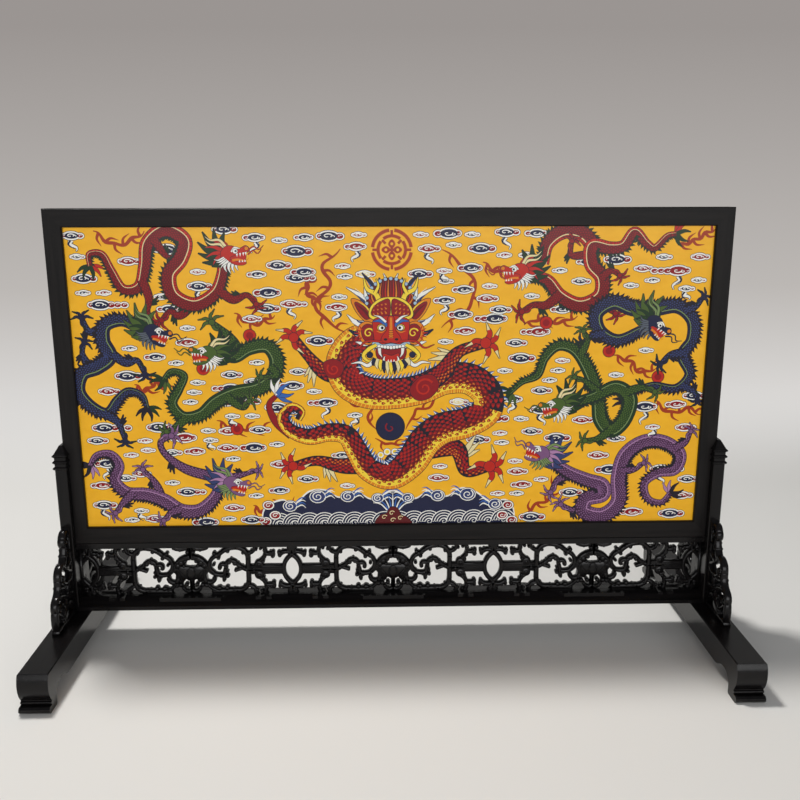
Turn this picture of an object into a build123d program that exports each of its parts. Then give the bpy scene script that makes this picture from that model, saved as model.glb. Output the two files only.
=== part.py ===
# Table screen: a porcelain picture panel in a mitred wooden frame, which drops into the grooved posts
# of a stand with scroll feet, openwork spandrels and an openwork apron.
# Millimetres. X runs across the screen, -Y is its front and Z is up from the table top.
import os
from math import ceil

from build123d import *

os.makedirs("parts", exist_ok=True)

# Framed panel, which lifts out of the stand
screen_w = 600.0
screen_h = 306.0
member_w = 16.0
frame_t = 20.0
lip_t = 3.5
rebate_w = 6.0
panel_t = 6.0
panel_play = 0.5
board_t = 4.0
bead_bevel = 2.4
frame_edge = 0.8
key_leg = 14.0
key_t = 3.0
pin_w = 1.4
pin_length = 11.0
pin_pitch = 140.0

# Stand
foot_h = 35.0
foot_w = 25.6
foot_reach = 129.3
foot_belly = 3.2
foot_arch_h = 11.6
foot_pad_h = 5.6
foot_pad_l = 17.5
foot_margin = 3.9
rail_h = 9.6
rail_lip = 3.5
rail_step = 7.2
slip_h = 49.2
upper_rail_t = 5.2
post_w = 10.4
post_d = 36.4
post_top = 173.5
groove_cover = 4.4
groove_play = 0.3
post_edge = 0.8
ring_h = 3.4
ring_gap = 2.4
ring_out = 1.2
cap_rise = 7.0
tenon_w = 6.0
foot_tenon_d = 24.0
foot_tenon_l = 18.0
rail_tenon_d = 22.0
rail_tenon_h = 5.0
rail_tenon_l = 5.0
upper_tenon_d = 12.0
upper_tenon_h = 3.0
upper_tenon_l = 3.5
joint_play = 0.1

# Openwork
apron_t = 7.0
apron_tongue = 3.4
apron_top_tongue = 1.2
apron_end_tongue = 3.0
apron_top_band = 2.8
motif_pitch = 96.2
tongue_half = 35.0
tongue_out = 6.2
stub_w = 15.0
stub_at = 27.0
spandrel_t = 7.0
spandrel_h = 84.0
spandrel_reach = 48.0
peg_w = 3.0
peg_h = 4.0
peg_in = 6.0
peg_out = 3.4
chord_turn = 0.85
chord_length = 8.0

# Places that follow from the sizes above
half_w = screen_w / 2
post_in = half_w - groove_cover
post_mid = post_in + post_w / 2
foot_mid = post_in + post_w + foot_margin - foot_w / 2
rail_top = foot_h + rail_h
upper_rail_z = rail_top + slip_h
seat_z = upper_rail_z + upper_rail_t
top_z = seat_z + screen_h
inner_w = half_w - member_w
mid_z = seat_z + screen_h / 2
front_y = -frame_t / 2
panel_y = front_y + lip_t
board_y = panel_y + panel_t
bead_y = board_y + board_t
bead_t = -front_y - bead_y
rebate_half_w = inner_w + rebate_w
rebate_half_h = screen_h / 2 - member_w + rebate_w
panel_half_w = rebate_half_w - panel_play
panel_half_h = rebate_half_h - panel_play
pierced_h = slip_h - apron_top_band
pierced_z = rail_top + pierced_h / 2


def block(xs, ys, zs, mode=Mode.ADD):
    """A box between two corners, given as a pair of limits on each axis."""
    (x0, x1), (y0, y1), (z0, z1) = xs, ys, zs
    with Locations(((x0 + x1) / 2, (y0 + y1) / 2, (z0 + z1) / 2)):
        Box(abs(x1 - x0), abs(y1 - y0), abs(z1 - z0), mode=mode)


# Frame: mitred members, rebated at the back for the panel, its board and the beads that hold them
def key_shapes(play, mode=Mode.ADD):
    """The keys let into the frame's mitres from its corners, or their slots with some play."""
    middle = panel_y + panel_t / 2
    with BuildSketch(Plane.XZ.offset(-(middle + key_t / 2 + play))) as triangles:
        for sx in (-1, 1):
            for z, sz in ((seat_z, 1), (top_z, -1)):
                with BuildLine():
                    Polyline(
                        (sx * half_w, z),
                        (sx * (half_w - key_leg), z),
                        (sx * half_w, z + sz * key_leg),
                        close=True,
                    )
                make_face()
    extrude(triangles.sketch, amount=key_t + 2 * play, mode=mode)


def pin_shapes(play, mode=Mode.ADD):
    """The square bamboo pins driven through the beads into the frame, or their holes with some play."""
    half = pin_w / 2 + play
    ys = (bead_y + bead_t / 2 - half, bead_y + bead_t / 2 + half)
    for s in (-1, 1):
        near, far = rebate_half_h - bead_t, rebate_half_h - bead_t + pin_length + play
        for x in (-pin_pitch, 0, pin_pitch):
            block((x - half, x + half), ys, (mid_z + s * near, mid_z + s * far), mode)
        near, far = rebate_half_w - bead_t, rebate_half_w - bead_t + pin_length + play
        block((s * near, s * far), ys, (mid_z - half, mid_z + half), mode)


def frame_member(across, sign):
    """A rail (across) or a stile, on the side that sign gives."""
    half_h = screen_h / 2
    long_half, wide_half = (half_w, half_h) if across else (half_h, half_w)
    inner = wide_half - member_w
    with BuildPart() as member:
        with BuildSketch(Plane.XZ.offset(front_y)):
            with BuildLine():
                corners = [
                    (-long_half, sign * wide_half),
                    (long_half, sign * wide_half),
                    (long_half - member_w, sign * inner),
                    (-long_half + member_w, sign * inner),
                ]
                if across:
                    Polyline(*[(a, mid_z + b) for a, b in corners], close=True)
                else:
                    Polyline(*[(b, mid_z + a) for a, b in corners], close=True)
            make_face()
        extrude(amount=frame_t)
        axis = Axis.X if across else Axis.Z
        chamfer(member.edges().filter_by(axis).group_by(Axis.Y)[0], length=frame_edge)
        block(
            (-rebate_half_w, rebate_half_w),
            (panel_y, -front_y),
            (mid_z - rebate_half_h, mid_z + rebate_half_h),
            Mode.SUBTRACT,
        )
        key_shapes(joint_play, Mode.SUBTRACT)
        pin_shapes(joint_play, Mode.SUBTRACT)
    return member.part


with BuildPart() as frame_top_rail:
    add(frame_member(True, 1))

with BuildPart() as frame_bottom_rail:
    add(frame_member(True, -1))

with BuildPart() as frame_left_stile:
    add(frame_member(False, -1))

with BuildPart() as frame_right_stile:
    add(frame_member(False, 1))

with BuildPart() as corner_keys:
    key_shapes(0.0)

with BuildPart() as back_pins:
    pin_shapes(0.0)

with BuildPart() as porcelain_panel:
    block(
        (-panel_half_w, panel_half_w),
        (panel_y, board_y),
        (mid_z - panel_half_h, mid_z + panel_half_h),
    )
    chamfer(porcelain_panel.faces().sort_by(Axis.Y)[0].edges(), length=panel_play)

with BuildPart() as back_board:
    block(
        (-panel_half_w, panel_half_w),
        (board_y, bead_y),
        (mid_z - panel_half_h, mid_z + panel_half_h),
    )


def back_bead(across, sign):
    """A mitred strip that holds the board in the rebate, bevelled towards the opening."""
    long_half, wide_half = (
        (rebate_half_w, rebate_half_h) if across else (rebate_half_h, rebate_half_w)
    )
    with BuildPart() as bead:
        with BuildSketch(Plane.XZ.offset(front_y)):
            with BuildLine():
                corners = [
                    (-long_half, sign * wide_half),
                    (long_half, sign * wide_half),
                    (long_half - bead_t, sign * (wide_half - bead_t)),
                    (-long_half + bead_t, sign * (wide_half - bead_t)),
                ]
                if across:
                    Polyline(*[(a, mid_z + b) for a, b in corners], close=True)
                else:
                    Polyline(*[(b, mid_z + a) for a, b in corners], close=True)
            make_face()
        extrude(amount=bead_t)
        along, over = (Axis.X, Axis.Z) if across else (Axis.Z, Axis.X)
        back = bead.edges().filter_by(along).group_by(Axis.Y)[-1]
        chamfer(back.sort_by(over)[0 if sign > 0 else -1], length=bead_bevel)
        pin_shapes(joint_play, Mode.SUBTRACT)
    return bead.part


with BuildPart() as back_bead_top:
    add(back_bead(True, 1))

with BuildPart() as back_bead_bottom:
    add(back_bead(True, -1))

with BuildPart() as back_bead_left:
    add(back_bead(False, -1))

with BuildPart() as back_bead_right:
    add(back_bead(False, 1))


# Stand: tenons first, because the pieces that take them are cut with the same sizes
def post_tenon(side, play, mode=Mode.ADD):
    """The tenon under a post, and with play the mortise in its foot."""
    block(
        (side * post_mid - tenon_w / 2 - play, side * post_mid + tenon_w / 2 + play),
        (-foot_tenon_d / 2 - play, foot_tenon_d / 2 + play),
        (foot_h - foot_tenon_l - play, foot_h),
        mode,
    )


def rail_tenon(side, play, mode=Mode.ADD):
    """The lower rail's tenon at one end, and with play its mortise in the post."""
    middle = foot_h + rail_lip
    block(
        (side * post_in, side * (post_in + rail_tenon_l + play)),
        (-rail_tenon_d / 2 - play, rail_tenon_d / 2 + play),
        (middle - rail_tenon_h / 2 - play, middle + rail_tenon_h / 2 + play),
        mode,
    )


def upper_tenon(side, play, mode=Mode.ADD):
    """The upper rail's tenon at one end, and with play its mortise in the post."""
    middle = upper_rail_z + upper_rail_t / 2
    block(
        (side * post_in, side * (post_in + upper_tenon_l + play)),
        (-upper_tenon_d / 2 - play, upper_tenon_d / 2 + play),
        (middle - upper_tenon_h / 2 - play, middle + upper_tenon_h / 2 + play),
        mode,
    )


def apron_slab(play, mode=Mode.ADD):
    """The apron's blank, which is let into both rails and both posts, or its grooves with some play."""
    block(
        (-post_in - apron_end_tongue - play, post_in + apron_end_tongue + play),
        (-apron_t / 2 - play, apron_t / 2 + play),
        (rail_top - apron_tongue - play, upper_rail_z + apron_top_tongue + play),
        mode,
    )


def spandrel_pegs(side, way, play, mode=Mode.ADD):
    """A spandrel's two loose tenons, down into the foot and level into the post, or their mortises."""
    thick, tall = peg_w / 2 + play, peg_h / 2 + play
    x = side * post_mid
    foot_y = way * (post_d + spandrel_reach) / 2
    post_y = way * post_d / 2
    post_z = foot_h + spandrel_h / 4
    block(
        (x - thick, x + thick),
        (foot_y - tall, foot_y + tall),
        (foot_h - peg_in - play, foot_h + peg_out + play),
        mode,
    )
    block(
        (x - thick, x + thick),
        (post_y - way * (peg_in + play), post_y + way * (peg_out + play)),
        (post_z - tall, post_z + tall),
        mode,
    )


def foot_outline():
    """A foot's side: flat top, bellied ends over a waist, a bead and a pad, and an arch between the pads."""
    pad_y = foot_reach + foot_belly + 1.4
    pad_in = pad_y - foot_pad_l
    waist_z = foot_pad_h + 4.2
    with BuildLine() as half:
        Line((0, foot_h), (foot_reach, foot_h))
        ThreePointArc(
            (foot_reach, foot_h),
            (foot_reach + foot_belly, (foot_h + waist_z) / 2 + 2),
            (foot_reach - 2.0, waist_z),
        )
        Polyline((foot_reach - 2.0, waist_z), (foot_reach - 2.0, waist_z - 1.0))
        ThreePointArc(
            (foot_reach - 2.0, waist_z - 1.0),
            (foot_reach - 0.4, waist_z - 2.0),
            (foot_reach - 2.0, waist_z - 3.0),
        )
        Polyline(
            (foot_reach - 2.0, waist_z - 3.0),
            (foot_reach - 2.0, foot_pad_h + 0.4),
            (pad_y - 1.8, foot_pad_h + 0.4),
            (pad_y, foot_pad_h - 1.0),
            (pad_y, 2.2),
            (pad_y - 2.2, 0),
            (pad_in + 1.2, 0),
            (pad_in, 1.2),
            (pad_in, foot_pad_h - 1.6),
        )
        top_y = pad_in - 13.0
        ThreePointArc(
            (pad_in, foot_pad_h - 1.6),
            (pad_in - 3.4, foot_arch_h + 2.6),
            (top_y, foot_arch_h + 6.0),
        )
        ThreePointArc(
            (top_y, foot_arch_h + 6.0),
            (top_y - 5.6, foot_arch_h + 5.2),
            (top_y - 10.0, foot_arch_h + 3.0),
        )
        ThreePointArc(
            (top_y - 10.0, foot_arch_h + 3.0),
            (top_y - 14.6, foot_arch_h + 0.8),
            (top_y - 20.0, foot_arch_h),
        )
        Line((top_y - 20.0, foot_arch_h), (0, foot_arch_h))
    return half


def foot(side):
    """A scroll foot that runs front to back, mortised for its post and drilled for the spandrels."""
    with BuildPart() as piece:
        with BuildSketch(Plane.YZ.offset(side * foot_mid - foot_w / 2)):
            with BuildLine():
                add(foot_outline().line)
                mirror(about=Plane.YZ)
            make_face()
        extrude(amount=foot_w)
        long_edges = piece.edges().filter_by(Axis.Y).group_by(Axis.Z)[-1]
        chamfer(long_edges, length=post_edge)
        post_tenon(side, joint_play, Mode.SUBTRACT)
        for way in (-1, 1):
            spandrel_pegs(side, way, joint_play, Mode.SUBTRACT)
    return piece.part


with BuildPart() as left_foot:
    add(foot(-1))

with BuildPart() as right_foot:
    add(foot(1))


def post_ring(side, low):
    """One bevelled ring moulding of a post's head."""
    with BuildPart() as ring:
        with BuildSketch(Plane.XY.offset(low)):
            with Locations((side * post_mid, 0)):
                Rectangle(post_w + 2 * ring_out, post_d + 2 * ring_out)
        extrude(amount=ring_h)
        chamfer(ring.edges().filter_by(Axis.Z, reverse=True), length=ring_h / 2 - 0.4)
    return ring.part


def post(side):
    """A grooved post with three ring mouldings and a hipped cap, tenoned into its foot."""
    cap_z = post_top + 3 * ring_h + 2 * ring_gap
    cap_out = ring_out - ring_h / 2 + 0.4
    rings = [post_ring(side, post_top + i * (ring_h + ring_gap)) for i in range(3)]
    with BuildPart() as piece:
        block(
            (side * post_in, side * (post_in + post_w)),
            (-post_d / 2, post_d / 2),
            (foot_h, cap_z),
        )
        chamfer(piece.edges().filter_by(Axis.Z), length=post_edge)
        add(rings)
        with BuildSketch(Plane.XY.offset(cap_z)):
            with Locations((side * post_mid, 0)):
                Rectangle(post_w + 2 * cap_out, post_d + 2 * cap_out)
        with BuildSketch(Plane.XY.offset(cap_z + cap_rise)):
            with Locations((side * post_mid, 0)):
                Rectangle(post_w / 4, post_d - post_w)
        loft(ruled=True)
        block(
            (side * (post_in - post_w), side * (half_w + groove_play)),
            (front_y - groove_play, -front_y + groove_play),
            (seat_z, cap_z + cap_rise + 1),
            Mode.SUBTRACT,
        )
        post_tenon(side, 0.0)
        rail_tenon(side, joint_play, Mode.SUBTRACT)
        upper_tenon(side, joint_play, Mode.SUBTRACT)
        apron_slab(joint_play, Mode.SUBTRACT)
        for way in (-1, 1):
            spandrel_pegs(side, way, joint_play, Mode.SUBTRACT)
    return piece.part


with BuildPart() as left_post:
    add(post(-1))

with BuildPart() as right_post:
    add(post(1))

with BuildPart() as upper_rail:
    block((-post_in, post_in), (front_y, -front_y), (upper_rail_z, seat_z))
    for side in (-1, 1):
        upper_tenon(side, 0.0)
    apron_slab(joint_play, Mode.SUBTRACT)

with BuildPart() as lower_rail:
    lip_y = post_d / 2
    slope = (rail_h - rail_lip) / (lip_y - rail_step)
    with BuildSketch(Plane.YZ.offset(-post_in)):
        with BuildLine():
            Polyline(
                (-lip_y, foot_h),
                (-lip_y, foot_h + rail_lip),
                (-rail_step, rail_top),
                (rail_step, rail_top),
                (lip_y, foot_h + rail_lip),
                (lip_y, foot_h),
                close=True,
            )
        make_face()
    extrude(amount=2 * post_in)
    # a raised tongue under each bat, mitred at its ends, and two scroll feet under each lozenge
    with BuildSketch(Plane.XY.offset(rail_top)):
        with Locations(*[(i * motif_pitch, 0) for i in (-2, 0, 2)]):
            Rectangle(2 * tongue_half, 2 * (rail_step + tongue_out))
        chamfer(vertices(), length=tongue_out)
        stubs = [i * motif_pitch + s * stub_at for i in (-3, -1, 1, 3) for s in (-1, 1)]
        with Locations(*[(x, 0) for x in stubs if abs(x) < post_in - stub_w / 2]):
            Rectangle(stub_w, 2 * (rail_step + tongue_out * 0.8))
        notches = [(x, s * (rail_step + tongue_out * 0.8)) for x in stubs for s in (-1, 1)]
        with Locations(*notches):
            Rectangle(stub_w / 4, stub_w / 4, rotation=45, mode=Mode.SUBTRACT)
    extrude(amount=-slope * tongue_out - 1.0)
    for side in (-1, 1):
        rail_tenon(side, 0.0)
    apron_slab(joint_play, Mode.SUBTRACT)


# Openwork. The motifs are drawn as carved strokes on a grid that follows the motif pitch and height.
def stroke(place, width, *points):
    """One carved stroke: straight through two points, or an arc through three, cut in short chords."""
    spots = [place(*p) for p in points]
    if len(spots) == 2:
        path = Line(*spots)
        chords = 1
    else:
        path = ThreePointArc(*spots)
        chords = ceil(max(path.length / path.radius / chord_turn, path.length / chord_length))
    stations = [i / chords for i in range(chords + 1)]
    aside = [(path % t).rotate(Axis.Z, 90) * width / 2 for t in stations]
    left = [path @ t + out for t, out in zip(stations, aside)]
    right = [path @ t - out for t, out in zip(stations, aside)]
    with BuildLine() as rim:
        Polyline(*left, *reversed(right), close=True)
    add(make_face(rim.line, mode=Mode.PRIVATE))


def knob(place, radius, *spots, sides=6):
    """Knots at the ends and turns of the strokes."""
    with Locations(*[place(*s) for s in spots]):
        RegularPolygon(radius, sides)


def apron_place(x, z):
    """A point of the apron's drawing grid, 96.2 from lozenge to bat and 23.2 from middle to edge."""
    return x * motif_pitch / 96.2, z * pierced_h / 46.4


def lozenge():
    """A pointed ring on a bar with scrolled ends, and hooks that reach in from both borders."""
    at = apron_place
    with BuildSketch() as drawn:
        stroke(at, 2.8, (0, 14.6), (8.3, 0), (0, -14.6))
        with Locations(at(19, 0)):
            Rectangle(at(21, 0)[0], at(0, 9.4)[1])
        knob(at, 4.7, (31.6, 5.4), (31.6, -5.4), sides=8)
        knob(at, 1.9, (27.6, 8.4), (27.6, -8.4))
        stroke(at, 2.0, (28, 0), (42, 0))
        for s in (-1, 1):
            stroke(at, 2.6, (30.2, s * 9), (25.7, s * 15), (27.4, s * 24.5))
            stroke(at, 2.6, (25.9, s * 16), (18.6, s * 15.6))
            stroke(at, 2.4, (18.4, s * 12.6), (17.8, s * 18.4))
            stroke(at, 5.0, (0, s * 16.2), (2.4, s * 24.5))
            stroke(at, 2.8, (2.6, s * 17.4), (7, s * 17.6), (11.2, s * 15.2))
            stroke(at, 2.2, (11.4, s * 13.2), (12.4, s * 18.0))
            stroke(at, 2.2, (35.7, s * 24.5), (36.9, s * 18.6), (42.3, s * 16.6))
        mirror(about=Plane.YZ)
    return drawn.sketch


def bat():
    """A bat with spread wings among scrolls and leaves, in a round-cornered cartouche."""
    at = apron_place
    with BuildSketch() as drawn:
        # cartouche
        stroke(at, 3.2, (-54.3, -12), (-54.3, 12))
        stroke(at, 3.2, (-54.3, 11), (-50.9, 19.4), (-42.5, 22.6))
        stroke(at, 3.2, (-43.5, 22.6), (-34.6, 20.9), (-26.6, 15.2))
        knob(at, 2.6, (-24.6, 14.6))
        knob(at, 2.0, (-22.4, 16.9), (-26.4, 12.2), (-35.4, 19.0))
        stroke(at, 3.4, (-54.3, -11), (-50.9, -18.6), (-42.5, -21.2))
        stroke(at, 4.2, (-44, -21.4), (-20, -22.0))
        knob(at, 2.6, (-33.4, -18.6), (-26.2, -18.8))
        # leaf scroll on the cartouche's side
        stroke(at, 2.8, (-53.8, -0.6), (-46.4, 3.6), (-41.2, 8.2))
        stroke(at, 3.0, (-42.6, 7.4), (-37.6, 9.0), (-33.6, 6.2))
        knob(at, 2.1, (-33.6, 5.8))
        stroke(at, 2.2, (-47.6, 1.2), (-41.8, -0.8))
        # hooked stem and its tendril to the wing
        stroke(at, 2.4, (-27.4, 1.0), (-29.4, 5.6), (-33.0, 1.4))
        stroke(at, 2.6, (-33.2, 2.4), (-31.6, -4.0), (-31.0, -10.2))
        knob(at, 1.7, (-30.8, -10.6))
        stroke(at, 2.6, (-31.8, -4.4), (-25.6, -5.2), (-17.6, -0.6))
        stroke(at, 2.6, (-23.4, 13.6), (-17.6, 6.6), (-21.6, -3.2))
        # wing
        stroke(at, 4.6, (-15.4, -0.4), (-11.0, 8.6), (-1.0, 13.0))
        with BuildLine():
            Polyline(
                at(-17.8, 0),
                at(-9.6, 4.6),
                at(0, 3.4),
                at(0, -11.4),
                at(-5, -9),
                at(-8, -12.6),
                at(-11, -11),
                at(-16, -13.6),
                at(-14, -5.4),
                close=True,
            )
        make_face()
        stroke(at, 3.0, (-12.6, -8.6), (-17.6, -13.0), (-21.8, -8.4))
        knob(at, 1.8, (-21.8, -8.0))
        stroke(at, 1.9, (-14.6, -11.6), (-17.6, -17.4), (-23.2, -20.6))
        # tail, feet and feelers
        stroke(at, 2.6, (0, -10), (0, -23))
        stroke(at, 2.2, (-7.6, -18.2), (-4.4, -21.6), (-0.4, -20.2))
        stroke(at, 3.2, (0, 12.6), (0, 24))
        knob(at, 1.5, (-3.2, 13.9))
        stroke(at, 3.2, (-15.8, 23.2), (-9.2, 21.4), (-3.4, 22.8))
        mirror(about=Plane.YZ)
    return drawn.sketch


bat_drawing = bat()
lozenge_drawing = lozenge()

with BuildSketch() as apron_drawing:
    add([Location((i * motif_pitch, 0)) * bat_drawing for i in (-2, 0, 2)])
    add([Location((i * motif_pitch, 0)) * lozenge_drawing for i in (-3, -1, 1, 3)])
    Rectangle(2 * post_in - 2, pierced_h, mode=Mode.INTERSECT)

with BuildPart() as apron_panel:
    with BuildSketch(Plane.XZ.offset(-apron_t / 2)):
        low, high = rail_top - apron_tongue, upper_rail_z + apron_top_tongue
        with Locations((0, (low + high) / 2)):
            Rectangle(2 * (post_in + apron_end_tongue), high - low)
        with Locations((0, pierced_z)):
            Rectangle(2 * post_in - 4, pierced_h, mode=Mode.SUBTRACT)
        add(Location((0, pierced_z)) * apron_drawing.sketch)
    extrude(amount=apron_t)


def spandrel_place(r, z):
    """A point of the spandrel's drawing grid: 48 out along the foot by 84 up the post."""
    return r * spandrel_reach / 48.0, z * spandrel_h / 84.0


def spandrel_outline():
    """Openwork scrolls that step down and out from the post to the foot."""
    at = spandrel_place
    with BuildSketch() as drawn:
        with BuildLine():
            Polyline(at(0, 0), at(47, 0), at(48, 2), at(44.5, 6), at(34, 4.6), at(4, 4.6), close=True)
        make_face()
        with BuildLine():
            Polyline(at(0, 0), at(4, 0), at(4, 62), at(2.4, 84), at(0, 84), close=True)
        make_face()
        # three scrolled lobes, from the knob by the post to the toe
        stroke(at, 3.2, (2, 72), (6, 81.6), (12.6, 77))
        stroke(at, 3.2, (12.6, 77), (12.2, 70.6), (6.8, 72.6))
        stroke(at, 3.4, (10.8, 71), (13.6, 61), (19.6, 53.4))
        stroke(at, 3.6, (19, 54.4), (29.4, 52), (31.2, 43.6))
        stroke(at, 3.0, (31.2, 44), (25.6, 39.6), (23.8, 45.4))
        stroke(at, 3.6, (31.8, 45), (33.6, 36.4), (38.8, 30.6))
        stroke(at, 3.6, (38.4, 30.8), (43.2, 27.4), (43.4, 19.4))
        stroke(at, 3.4, (43.4, 22), (46.2, 12), (44.6, 3))
        # struts and leaves between the lobes and the post
        stroke(at, 3.0, (1.6, 63.4), (8.4, 62.6), (13.4, 63.2))
        stroke(at, 3.0, (2, 55), (10, 50), (20.4, 53.2))
        stroke(at, 2.8, (2, 43), (12, 47.4), (17, 51.8))
        stroke(at, 3.0, (2, 42), (13, 35), (24.4, 40.6))
        stroke(at, 3.0, (14, 36.4), (21.6, 34.6), (33.4, 38))
        stroke(at, 5.4, (1.6, 21), (9, 21), (15.4, 24.8))
        stroke(at, 3.0, (12, 36.4), (14, 29), (21, 22))
        stroke(at, 3.2, (20, 24), (29.6, 28.4), (38.8, 30.8))
        stroke(at, 3.6, (5, 12), (17, 14.4), (30, 4))
        stroke(at, 3.2, (15, 24), (24, 18), (33, 8))
        stroke(at, 3.0, (31, 10), (37.4, 14.4), (43.6, 20.4))
        stroke(at, 2.6, (26, 17), (32.4, 21.6), (37.8, 19.6))
        knob(at, 2.2, (24.4, 45.2), (37.4, 19.4), (7.6, 72.8))
        corner = Align.MIN, Align.MIN
        Rectangle(1.1 * spandrel_reach, 1.1 * spandrel_h, align=corner, mode=Mode.INTERSECT)
    return drawn.sketch


spandrel_drawing = spandrel_outline()


def spandrel(side, way):
    """One spandrel beside a post, on the foot, mortised for its two loose tenons."""
    plane = Plane(
        origin=(side * post_mid - spandrel_t / 2, way * post_d / 2, foot_h),
        x_dir=(0, way, 0),
        z_dir=(way, 0, 0),
    )
    with BuildPart() as piece:
        with BuildSketch(plane):
            add(spandrel_drawing)
        extrude(amount=way * spandrel_t)
        spandrel_pegs(side, way, joint_play, Mode.SUBTRACT)
    return piece.part


with BuildPart() as spandrel_front_left:
    add(spandrel(-1, -1))

with BuildPart() as spandrel_front_right:
    add(spandrel(1, -1))

with BuildPart() as spandrel_rear_left:
    add(spandrel(-1, 1))

with BuildPart() as spandrel_rear_right:
    add(spandrel(1, 1))

with BuildPart() as loose_tenons:
    for side in (-1, 1):
        for way in (-1, 1):
            spandrel_pegs(side, way, 0.0)

frame_top_rail.part.label = "frame_top_rail"
export_step(frame_top_rail.part, "parts/frame_top_rail.step")

frame_bottom_rail.part.label = "frame_bottom_rail"
export_step(frame_bottom_rail.part, "parts/frame_bottom_rail.step")

frame_left_stile.part.label = "frame_left_stile"
export_step(frame_left_stile.part, "parts/frame_left_stile.step")

frame_right_stile.part.label = "frame_right_stile"
export_step(frame_right_stile.part, "parts/frame_right_stile.step")

corner_keys.part.label = "corner_keys"
export_step(corner_keys.part, "parts/corner_keys.step")

porcelain_panel.part.label = "porcelain_panel"
export_step(porcelain_panel.part, "parts/porcelain_panel.step")

back_board.part.label = "back_board"
export_step(back_board.part, "parts/back_board.step")

back_bead_top.part.label = "back_bead_top"
export_step(back_bead_top.part, "parts/back_bead_top.step")

back_bead_bottom.part.label = "back_bead_bottom"
export_step(back_bead_bottom.part, "parts/back_bead_bottom.step")

back_bead_left.part.label = "back_bead_left"
export_step(back_bead_left.part, "parts/back_bead_left.step")

back_bead_right.part.label = "back_bead_right"
export_step(back_bead_right.part, "parts/back_bead_right.step")

back_pins.part.label = "back_pins"
export_step(back_pins.part, "parts/back_pins.step")

left_foot.part.label = "left_foot"
export_step(left_foot.part, "parts/left_foot.step")

right_foot.part.label = "right_foot"
export_step(right_foot.part, "parts/right_foot.step")

left_post.part.label = "left_post"
export_step(left_post.part, "parts/left_post.step")

right_post.part.label = "right_post"
export_step(right_post.part, "parts/right_post.step")

lower_rail.part.label = "lower_rail"
export_step(lower_rail.part, "parts/lower_rail.step")

apron_panel.part.label = "apron_panel"
export_step(apron_panel.part, "parts/apron_panel.step")

upper_rail.part.label = "upper_rail"
export_step(upper_rail.part, "parts/upper_rail.step")

spandrel_front_left.part.label = "spandrel_front_left"
export_step(spandrel_front_left.part, "parts/spandrel_front_left.step")

spandrel_front_right.part.label = "spandrel_front_right"
export_step(spandrel_front_right.part, "parts/spandrel_front_right.step")

spandrel_rear_left.part.label = "spandrel_rear_left"
export_step(spandrel_rear_left.part, "parts/spandrel_rear_left.step")

spandrel_rear_right.part.label = "spandrel_rear_right"
export_step(spandrel_rear_right.part, "parts/spandrel_rear_right.step")

loose_tenons.part.label = "loose_tenons"
export_step(loose_tenons.part, "parts/loose_tenons.step")
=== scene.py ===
# Looks of a porcelain table screen: carved black wood stand, satin black frame and an enamelled panel.
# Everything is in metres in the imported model's frame: X across, -Y the front, Z up from the table top.
import math

import bmesh
import bpy
import numpy as np
from mathutils import Matrix, Vector


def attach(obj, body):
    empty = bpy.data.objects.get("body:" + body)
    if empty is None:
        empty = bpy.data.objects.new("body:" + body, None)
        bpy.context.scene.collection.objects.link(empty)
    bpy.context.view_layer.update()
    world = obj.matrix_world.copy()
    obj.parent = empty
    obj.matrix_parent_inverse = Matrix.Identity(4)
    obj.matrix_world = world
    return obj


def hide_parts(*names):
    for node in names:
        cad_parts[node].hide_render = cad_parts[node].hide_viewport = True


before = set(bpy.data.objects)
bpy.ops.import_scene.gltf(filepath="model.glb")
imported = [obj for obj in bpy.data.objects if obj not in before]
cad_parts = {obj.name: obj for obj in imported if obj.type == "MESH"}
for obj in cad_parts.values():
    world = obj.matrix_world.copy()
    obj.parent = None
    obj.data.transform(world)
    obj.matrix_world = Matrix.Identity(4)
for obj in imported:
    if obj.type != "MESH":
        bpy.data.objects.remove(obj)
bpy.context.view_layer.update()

MM = 0.001

# Camera, fitted to the photograph
CAMERA_AT = (-0.011749, -0.783584, 0.415980)
CAMERA_YAW = 0.024
CAMERA_PITCH = 0.230
CAMERA_ROLL = -0.002
FOCAL_PIXELS = 877.14
PICTURE_PIXELS = 800
SENSOR_MM = 36.0


def add_object(name, data):
    """A new object, linked into the scene."""
    thing = bpy.data.objects.new(name, data)
    bpy.context.scene.collection.objects.link(thing)
    return thing


def place_camera():
    """A camera at the photograph's place, with the photograph's field of view."""
    data = bpy.data.cameras.new("camera")
    data.sensor_fit = "HORIZONTAL"
    data.sensor_width = SENSOR_MM
    data.lens = FOCAL_PIXELS / PICTURE_PIXELS * SENSOR_MM
    data.clip_start = 0.01
    data.clip_end = 20.0
    camera = add_object("camera", data)
    yaw, pitch, roll = CAMERA_YAW, CAMERA_PITCH, CAMERA_ROLL
    ahead = Vector((math.sin(yaw) * math.cos(pitch), math.cos(yaw) * math.cos(pitch), -math.sin(pitch)))
    level = Vector((math.cos(yaw), -math.sin(yaw), 0.0))
    upright = level.cross(ahead)
    right = math.cos(roll) * level + math.sin(roll) * upright
    up = -math.sin(roll) * level + math.cos(roll) * upright
    turn = Matrix((right, up, -ahead)).transposed()
    camera.matrix_world = Matrix.Translation(CAMERA_AT) @ turn.to_4x4()
    bpy.context.scene.camera = camera


# Materials
def new_material(name):
    """A node material and its Principled shader."""
    material = bpy.data.materials.new(name)
    material.use_nodes = True
    return material, material.node_tree.nodes["Principled BSDF"]


def link(source, output, target, socket):
    """Joins a node's output to another's input, each given by its name or number."""
    source.id_data.links.new(source.outputs[output], target.inputs[socket])


def set_sockets(node, **values):
    """Sets a node's inputs by name, with spaces written as underscores."""
    for name, value in values.items():
        node.inputs[name.replace("_", " ")].default_value = value
    return node


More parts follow.
